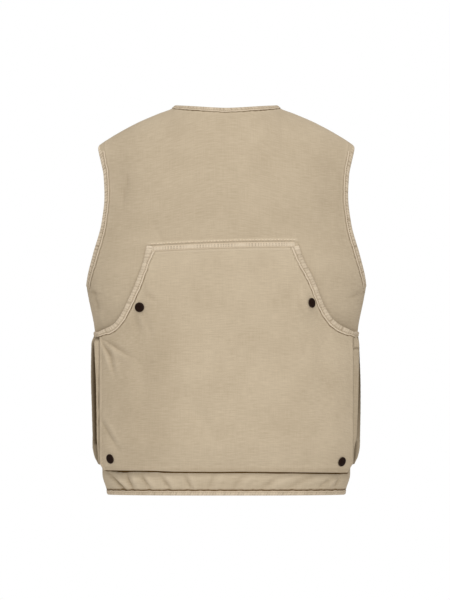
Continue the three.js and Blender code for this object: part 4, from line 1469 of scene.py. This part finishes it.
# Pocket panel
FOLD_ROW = int(np.argmin(np.abs(pocket_rows - 1)))
SOFT_ROWS = (FOLD_ROW - 5, FOLD_ROW + 4)
BELOW_BAND_RISE = 0.5
BELOW_BAND_RISE_AT = (2.6, 1.6)
BELOW_BAND_SHADOW = 0.04
BELOW_BAND_SHADOW_AT = (0.5, 1.0)
# Wear below the band: amount, place and half width
BELOW_BAND_WEAR = ((0.75, 2.2, 2.2), (0.15, 8, 14))
BELOW_BAND_START = (-BAND_LEFT - 2, -BAND_LEFT + 3)
BELOW_BAND_END = (BAND_RIGHT - 2, BAND_RIGHT + 3)
SIDE_START = (GUSSET_TOP_DROP, GUSSET_TOP_DROP + 10)
SIDE_RIDGE = {-1: 0.45, 1: 0.15}
SIDE_RIDGE_AT = (1.4, 1.5)
SIDE_HOLLOW_AT = (4.2, 1.4)
SIDE_WEAR_AT = (1.0, 1.8)
BOTTOM_SHADE = 0.12
BOTTOM_SHADE_FADE = (4, 10)
RETURN_WIDTH = 4
RETURN_SHADE = (1.0, 1.08)
RIGHT_CORNER_DARK = 0.4
RIGHT_CORNER_AT = (0.3, 1.0)
RIGHT_CORNER_OUT = (195, 203)
RIGHT_CORNER_END = (390, 398)
LEFT_SHADE = 0.1
LEFT_SHADE_START = (55, 115)
LEFT_SHADE_EASE = 0.5
LEFT_SHADE_EASE_OUT = (150, 195)
LEFT_SHADE_DROP = (300, 350)


def below_band(out, drop):
    """The padded edge below the band: its height, with the painted shadow under the band and the wear there.
    """
    under = drop - (pocket_top_line(out) - BAND_ABOVE + BAND_HEIGHT)
    along = span(out, BELOW_BAND_START, BELOW_BAND_END)
    # Painted shadow just under the band
    pocket.darken(along * BELOW_BAND_SHADOW * stripe(under, *BELOW_BAND_SHADOW_AT))
    for amount, at, width in BELOW_BAND_WEAR:
        pocket.rub(along * amount * stripe(under, at, width))
    return along * BELOW_BAND_RISE * stripe(under, *BELOW_BAND_RISE_AT) * uneven("row below the band", out)


def pocket_sides(out, drop):
    """The turned side edges below the hand openings: their height, with the wear there and a darker line
    along the right corner.
    """
    edge = POCKET_HALF - np.abs(pocket.u)
    shown = smoothstep(drop, *SIDE_START) * (pocket.v <= 1)
    pocket.rub(shown * uneven("pocket side", drop) * stripe(edge, *SIDE_WEAR_AT) * (out < 0))
    corner = smoothstep(out, *RIGHT_CORNER_OUT) * (1 - smoothstep(drop, *RIGHT_CORNER_END))
    pocket.darken(RIGHT_CORNER_DARK * shown * corner * stripe(edge, *RIGHT_CORNER_AT))
    ridge = np.where(out < 0, SIDE_RIDGE[-1], SIDE_RIDGE[1])
    return shown * ridge * (stripe(edge, *SIDE_RIDGE_AT) - stripe(edge, *SIDE_HOLLOW_AT))


def soften_fold():
    """Rounds the fold along the pocket's bottom edge."""
    first, last = SOFT_ROWS
    for _ in range(2):
        rows = pocket.places[first - 1:last + 1]
        pocket.places[first:last] = (rows[:-2] + 2 * rows[1:-1] + rows[2:]) / 4


def make_pocket():
    out, drop = pocket.out(), pocket.drop()
    height = np.zeros(pocket.u.shape)
    for path, reach, seed, amount in OPENING_TAPES.values():
        height = height + settle_to_tape(pocket, path, reach, seed, POCKET_CLOTH_GATHERS * amount)
    height = height + below_band(out, drop) + pocket_sides(out, drop)
    # Painted shade near the bottom edge, and over the turned-under return
    bottom = np.abs(drop - pocket_bottom(pocket.u)) + RETURN_WIDTH * np.maximum(0, pocket.v - 1)
    pocket.darken(BOTTOM_SHADE * (1 - smoothstep(bottom, *BOTTOM_SHADE_FADE)))
    pocket.darken(smoothstep(pocket.v, *RETURN_SHADE))
    # Painted shade on the left third of the pocket, which turns away from the light
    left_shade = LEFT_SHADE * smoothstep(-out, *LEFT_SHADE_START)
    left_shade = left_shade * (1 - LEFT_SHADE_EASE * smoothstep(-out, *LEFT_SHADE_EASE_OUT))
    pocket.darken(left_shade * smoothstep(drop, *LEFT_SHADE_DROP))
    crease_tone(pocket, POCKET_FOLDS)
    pocket.raise_by(height * (pocket.v <= 1))
    soften_fold()
    return sew_cloth("pocket_cloth", pocket, CANVAS, canvas)


pocket_cloth = make_pocket()
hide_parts("pocket_panel")

# Bellows sides; places across are shares from the pocket, and places down are shares of the height
BELLOWS_LOOK = {
    -1: {"deep": 1, "deep_end": 0.6, "fade": 0, "step": 0.836, "edge": 0.55, "edge_top": 0,
         "shade": 0, "tucks": 0, "top": 0.75},
    1: {"deep": 0.86, "deep_end": 0.68, "fade": 0.5, "step": 0.814, "edge": 0.05, "edge_top": 0.3,
        "shade": 0.18, "tucks": 0.6, "top": 0},
}
INNER_CREST_AT = (0.24, 0.06)
OUTER_CREST_AT = (0.8, 0.05)
CREST_WEAR = 0.3
DEEP_START = (0.28, 0.36)
DEEP_FADE = 0.28
DEEP_TOP = (0, 0.14)
DEEP_FADE_DOWN = (0.35, 0.85)
EDGE_LINE_AT = (0.01, 0.04)
EDGE_LINE_START = (0.02, 0.05)
EDGE_LINE_DOWN = (0.2, 0.5)
EDGE_LINE_TOP = (0.1, 0.14)
SHADE_END = 0.3
STEP_LIGHT = 0.9
STEP_WIDTH = 0.008
STEP_SPAN = (0.3, 0.82)
STEP_EASE = 0.4
STEP_EASE_RUN = 0.03
LOWER_TONE = 0.8
LOWER_RUN = 0.01
LOWER_CREST_AT = (0.8, 0.06)
LOWER_VALLEY_AT = (0.55, 0.14)
TOP_SHADOW_AT = (0.045, 0.016)
TOP_SHADOW_END = 0.5
# Tucks: place down, run and curve across, width
FIRST_TUCK = (0.125, 0.1, -0.4, 0.01)
SECOND_TUCK = (0.185, 0.12, 0, 0.012)
SECOND_TUCK_TONE = 0.5
SECOND_TUCK_START = (0.06, 0.14)
TUCKS_END = 0.26


def tuck(cloth, down, run, curve, width):
    return bump(cloth.v - down + run * cloth.u + curve * cloth.u ** 2, width)


def bellows_tucks(cloth):
    """Painted shade of two short tucks below the top of the right side."""
    second = SECOND_TUCK_TONE * tuck(cloth, *SECOND_TUCK) * smoothstep(cloth.u, *SECOND_TUCK_START)
    return (tuck(cloth, *FIRST_TUCK) + second) * (cloth.u < TUCKS_END)


def make_bellows(hand):
    """One folded side: painted shade in its valley and its tucks, rubbed along its crests, and painted light
    and shade at the step near its lower end.
    """
    cloth, look = bellows_cloth[hand], BELLOWS_LOOK[hand]
    crest = np.maximum(stripe(cloth.u, *INNER_CREST_AT), stripe(cloth.u, *OUTER_CREST_AT))
    cloth.rub(CREST_WEAR * crest * gusset_folded(cloth.v))
    step = look["step"]
    # Painted shade deep in the valley between the folds
    deep = span(cloth.u, DEEP_START, (look["deep_end"], look["deep_end"] + DEEP_FADE))
    deep = deep * look["deep"] * (1 - look["fade"] * smoothstep(cloth.v, *DEEP_FADE_DOWN))
    eased = 1 - STEP_EASE * smoothstep(cloth.v, step, step + STEP_EASE_RUN)
    cloth.darken(deep * smoothstep(cloth.v, *DEEP_TOP) * eased)
    edge_line = look["edge"] * uneven("bellows edge", cloth.drop()) * smoothstep(cloth.v, *EDGE_LINE_DOWN)
    edge_line = edge_line + look["edge_top"] * (1 - smoothstep(cloth.v, *EDGE_LINE_TOP))
    cloth.darken(edge_line * stripe(cloth.u, *EDGE_LINE_AT) * smoothstep(cloth.v, *EDGE_LINE_START))
    cloth.darken(look["shade"] * (cloth.u < SHADE_END))
    # Painted light along the step near the lower end
    on_step = (cloth.u > STEP_SPAN[0]) * (cloth.u < STEP_SPAN[1])
    cloth.rub(STEP_LIGHT * stripe(cloth.v, step, STEP_WIDTH) * on_step)
    # Painted light on the lower crest and painted shade in the lower valley
    lower = LOWER_TONE * smoothstep(cloth.v, step, step + LOWER_RUN)
    cloth.rub(lower * stripe(cloth.u, *LOWER_CREST_AT))
    cloth.darken(lower * stripe(cloth.u, *LOWER_VALLEY_AT))
    # Painted shade of the tucks
    cloth.darken(look["tucks"] * bellows_tucks(cloth))
    path, reach, seed, _ = OPENING_TAPES[hand]
    settle_to_tape(cloth, path, reach, seed, 0)
    cloth.darken(look["top"] * stripe(cloth.v, *TOP_SHADOW_AT) * (cloth.u < TOP_SHADOW_END))
    cloth.raise_by(uneven("bellows ripple", cloth.drop(), hand) * crest)
    return sew_cloth("bellows_" + SIDES[hand], cloth, GUSSET_WALL, shaded_fold_canvas)


for hand, side in SIDES.items():
    make_bellows(hand)
    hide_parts("pocket_gusset_" + side)

# Tapes along the hand openings
for hand, side in SIDES.items():
    path, reach, seed, amount = OPENING_TAPES[hand]
    sew_tape(f"pocket_binding_{side}_tape", path, reach, seed, amount, tape)
    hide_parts(f"pocket_binding_{side}")
    stitch_rows[f"pocket_binding_{side}"] = tape_stitches(path, reach, seed, amount)

# Band along the top of the pocket; places down are shares of its height
BAND_DASH = 4.7
BAND_STITCH_DOWN = (0.14, 0.86)
BAND_GATHERS = 0.4
BAND_GROOVE = 0.45
BAND_GROOVE_WIDTH = 0.06
BAND_UPPER_GROOVE = 0.3
BAND_EDGE_WIDTH = 0.07
BAND_WEAR = 0.58
BAND_EDGE_WEAR = 0.35
BAND_GROOVE_DIM = 0.3
BAND_GROOVE_SHADE = 0.08
BAND_DASH_DYE = 0.7
# Drift of the dashes: amount, pitch and seed
BAND_DASH_DRIFT = (1.6, 31, 0.4)
# Rows of the band's threads: place, width and strength
BAND_THREADS = ((0.34, 0.13, 1), (0.66, 0.12, 0.8))
# Gathers of the band: amount, slant, pitch and seed
BAND_GATHER_WAVES = ((0.6, 4, 4.3, 0.8), (0.5, -2, 2.9, 2.0))
BAND_GATHER_START = 0.12


def band_dashes():
    """Two rows of short dark gaps between the threads of the band, stronger in some stretches."""
    drift, pitch, seed = BAND_DASH_DRIFT
    phase = 2 * math.pi * band.u / BAND_DASH + drift * wobble(band.u, pitch, seed)
    upper, lower = (strength * stripe(band.v, at, width) for at, width, strength in BAND_THREADS)
    strength = np.clip(uneven("band threads", band.u), 0, 1)
    return (0.5 + 0.5 * np.cos(phase)) ** 2 * np.maximum(upper, lower) * strength


def make_band():
    upper, lower = BAND_STITCH_DOWN
    gathers = 0
    for amount, slant, pitch, seed in BAND_GATHER_WAVES:
        gathers = gathers + amount * wobble(band.u + slant * band.v, pitch, seed)
    down = (band.v - BAND_GATHER_START) / (1 - 2 * BAND_GATHER_START)
    gathers = gathers * np.sin(math.pi * np.clip(down, 0, 1))
    grooves = np.maximum(BAND_UPPER_GROOVE * stripe(band.v, upper, BAND_GROOVE_WIDTH),
                         stripe(band.v, lower, BAND_GROOVE_WIDTH))
    edges = np.maximum(stripe(band.v, 0, BAND_EDGE_WIDTH), stripe(band.v, 1, BAND_EDGE_WIDTH))
    band.raise_by(BAND_GATHERS * gathers - BAND_GROOVE * grooves)
    # Painted light on the gathers' tops and painted shade in the stitch grooves, over the band's wear
    band.rub(BAND_WEAR + BAND_GATHERS * gathers + BAND_EDGE_WEAR * edges - BAND_GROOVE_DIM * grooves)
    band.darken(BAND_GROOVE_SHADE * grooves + BAND_DASH_DYE * band_dashes())
    return sew_cloth("pocket_band_cloth", band, BAND_WALL, tape)


band = Cloth(band_point, even(-BAND_LEFT, BAND_RIGHT, 230), even(0, 1, 25), (0, -1, 0))
band_cloth = make_band()
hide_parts("pocket_band")


# Rows of stitches
def back_at(out, drop):
    """A place on the back by its distance out and drop."""
    return np.stack([out, -body_depth(BACK, out, drop), -drop], axis=-1)


def pocket_at(out, drop):
    """A place on the pocket by its distance out and drop."""
    return np.stack([out, -pocket_depth(out, drop), -drop], axis=-1)


STITCH_SINK = 0.3
BAND_STITCH_IN = 2
ABOVE_STITCH_LIFT = 1.0
ABOVE_STITCH_PAST = (2, 4)
stitch_pieces = {name: sew_stitches(name + "_stitches", [row], thread) for name, row in stitch_rows.items()}
band_outs = even(-BAND_LEFT + BAND_STITCH_IN, BAND_RIGHT - BAND_STITCH_IN, 160)
band_rows = [
    surface_row(band_point, band_outs, np.full(160, down), band.turn, BAND_WALL / 2 - STITCH_SINK)
    for down in BAND_STITCH_DOWN
]
stitch_pieces["band"] = sew_stitches("pocket_band_stitches", band_rows, thread)
above_outs = even(-BAND_LEFT - ABOVE_STITCH_PAST[0], BAND_RIGHT + ABOVE_STITCH_PAST[1], 160)
above_drops = pocket_top_line(above_outs) - BAND_ABOVE - ABOVE_BAND
above_row = surface_row(back_at, above_outs, above_drops, -1, CANVAS / 2 + ABOVE_STITCH_LIFT)
stitch_pieces["above_band"] = sew_stitches("above_band_stitches", [above_row], pale_thread, size=PALE_STITCH)
placket_downs = even(0.01, 0.99, 200)
placket_rows = [
    surface_row(placket_point, np.full(200, hand * (PLACKET_WIDTH / 2 - PLACKET_STITCH_IN)), placket_downs,
                placket.turn, CANVAS / 2 - STITCH_SINK)
    for hand in SIDES
]
stitch_pieces["placket"] = sew_stitches("placket_stitches", placket_rows, thread)

# Press studs: one cap is modelled and copied to each place
STUD_SIDES = 48
STUD_RIM_STEPS = 24
STUD_UP = 0.9
STUD_BEVEL = 0.25
STUD_BEVEL_ANGLE = 50
# How far in each ring of the cap is, and how far it rises
STUD_RINGS = ((0.7, 0.55), (0.9, 0.35), (1.6, 0.35), (1.8, 0.2), (0.6, -0.12), (1.0, -0.1))
# Rubbed rings of the cap: amount, place as a share of the radius, and width
STUD_RUBS = ((0.9, 0.93, 0.08), (0.25, 0.45, 0.15))


def model_stud():
    """A low domed cap with a rolled rim and a shallow dished middle."""
    bpy.ops.object.select_all(action="DESELECT")
    wall = SNAP_HEIGHT / 2 * MM
    bpy.ops.mesh.primitive_cylinder_add(vertices=STUD_SIDES, radius=SNAP_RADIUS * MM, depth=wall,
                                        location=(0, 0, wall / 2))
    cap = bpy.context.object
    bpy.ops.object.mode_set(mode="EDIT")
    bpy.ops.mesh.select_mode(type="FACE")
    bpy.ops.mesh.select_all(action="DESELECT")
    bpy.ops.object.mode_set(mode="OBJECT")
    for face in cap.data.polygons:
        face.select = face.normal.z > STUD_UP
    bpy.ops.object.mode_set(mode="EDIT")
    for inset, rise in STUD_RINGS:
        bpy.ops.mesh.inset(thickness=inset * MM, depth=0)
        bpy.ops.transform.translate(value=(0, 0, rise * MM))
    bpy.ops.mesh.poke()
    bpy.ops.object.mode_set(mode="OBJECT")
    apply_modifier(cap, "BEVEL", width=STUD_BEVEL * MM, segments=2, limit_method="ANGLE",
                   angle_limit=math.radians(STUD_BEVEL_ANGLE))
    bpy.ops.object.transform_apply(location=True, rotation=True, scale=True)
    cap.data.polygons.foreach_set("use_smooth", [True] * len(cap.data.polygons))
    cap.data.materials.append(stud)
    return cap


def stud_seat(out, drop):
    """Where a cap sits, clear of the cloth all round its rim, and which way it faces."""
    turns = even(0, 2 * math.pi, STUD_RIM_STEPS + 1)[:-1]
    at, normal = surface_row(pocket_at, np.array([out]), np.array([drop]), -1, 0)
    at, normal = at[0], normal[0]
    rim = pocket_at(out + SNAP_RADIUS * np.cos(turns), drop + SNAP_RADIUS * np.sin(turns))
    lift = max(0.0, float(((rim - at) @ normal).max())) + CANVAS / 2 + SNAP_GAP
    return at + normal * lift, normal


def place_stud(cap, name, out, drop):
    """A copy of the cap with its own mesh at its place on the pocket."""
    seat, normal = stud_seat(out, drop)
    piece = cap.copy()
    piece.data = cap.data.copy()
    piece.name = name + "_cap"
    bpy.context.scene.collection.objects.link(piece)
    turn = Vector((0, 0, 1)).rotation_difference(Vector(normal)).to_matrix().to_4x4()
    piece.data.transform(Matrix.Translation(Vector(seat * MM)) @ turn)
    local = np.array([v.co[:] for v in cap.data.vertices])
    radius = np.hypot(local[:, 0], local[:, 1]) / (SNAP_RADIUS * MM)
    rubbed = sum(amount * stripe(radius, at, width) for amount, at, width in STUD_RUBS)
    point_values(piece, rubbed=np.clip(rubbed, 0, 1))
    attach(piece, "root")
    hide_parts(name)
    return piece


cap_model = model_stud()
studs = [place_stud(cap_model, name, out, drop) for name, (out, drop) in SNAPS.items()]
bpy.data.objects.remove(cap_model)

# Stage, light and camera
PIXEL_MM = 1.65
MIDDLE_PIXEL = 226.3
ORIGIN_PIXEL = 109.0
VIEW_DISTANCE = 8.0
VIEW_END = 100
FRAME_WIDTH, FRAME_HEIGHT = 450, 600
SENSOR_MM = 36.0
FLOOR_DROP = 1.05
FLOOR_RADIUS = 2.1
FLOOR_SIDES = 96
FLOOR_ROUGHNESS = 0.8
SEEN_WHITE = (1, 1, 1, 1)
FILL_COLOUR = (1, 0.96, 0.9, 1)
FILL_STRENGTH = 0.55
# Soft lights: place, aim, size and power
LIGHTS = {
    "key_light": ((0.18, -4.3, 0.6), (0, 0, -0.42), 1.6, 57),
    "top_light": ((0, -1.5, 3.6), (0, 0, -0.2), 1.8, 48),
    "front_light": ((0.5, 4.3, 0.9), (0, 0, -0.42), 1.6, 48),
}
scene = bpy.context.scene


def lay_floor():
    bpy.ops.object.select_all(action="DESELECT")
    bpy.ops.mesh.primitive_circle_add(vertices=FLOOR_SIDES, radius=FLOOR_RADIUS, fill_type="NGON",
                                      location=(0, 0, -FLOOR_DROP))
    floor = bpy.context.object
    floor.name = "floor"
    bpy.ops.object.transform_apply(location=True)
    finish, _, shader = new_material("pale_floor")
    shader.inputs["Base Color"].default_value = (*FLOOR_PALE, 1)
    shader.inputs["Roughness"].default_value = FLOOR_ROUGHNESS
    floor.data.materials.append(finish)


def white_studio():
    """White behind the vest, and a warmer, softer fill on it."""
    world = bpy.data.worlds.new("white_studio")
    scene.world = world
    world.use_nodes = True
    sky = world.node_tree
    for old in list(sky.nodes):
        sky.nodes.remove(old)
    seen = node(sky, "ShaderNodeBackground", {"Color": SEEN_WHITE, "Strength": 1.0})
    fill = node(sky, "ShaderNodeBackground", {"Color": FILL_COLOUR, "Strength": FILL_STRENGTH})
    ray = node(sky, "ShaderNodeLightPath")
    choose = node(sky, "ShaderNodeMixShader", {
        0: ray.outputs["Is Camera Ray"], 1: fill.outputs[0], 2: seen.outputs[0],
    })
    node(sky, "ShaderNodeOutputWorld", {"Surface": choose.outputs[0]})


def soft_light(name, place, aim, size, power):
    lamp = bpy.data.lights.new(name, "AREA")
    lamp.shape = "DISK"
    lamp.size = size
    lamp.energy = power
    holder = bpy.data.objects.new(name, lamp)
    scene.collection.objects.link(holder)
    holder.location = place
    holder.rotation_euler = (Vector(aim) - Vector(place)).to_track_quat("-Z", "Y").to_euler()
    holder.visible_camera = False


def photo_camera():
    """A level camera behind the vest, on the middle of the photograph."""
    lens = bpy.data.cameras.new("photo_camera")
    lens.sensor_width = SENSOR_MM
    lens.lens = SENSOR_MM * VIEW_DISTANCE / (FRAME_HEIGHT * PIXEL_MM * MM)
    lens.clip_end = VIEW_END
    camera = bpy.data.objects.new("photo_camera", lens)
    scene.collection.objects.link(camera)
    camera.location = ((FRAME_WIDTH / 2 - MIDDLE_PIXEL) * PIXEL_MM * MM, -VIEW_DISTANCE,
                       -(FRAME_HEIGHT / 2 - ORIGIN_PIXEL) * PIXEL_MM * MM)
    camera.rotation_euler = (math.pi / 2, 0, 0)
    scene.camera = camera


scene.view_settings.view_transform = "Standard"
scene.view_settings.look = "None"
lay_floor()
white_studio()
for name, settings in LIGHTS.items():
    soft_light(name, *settings)
photo_camera()
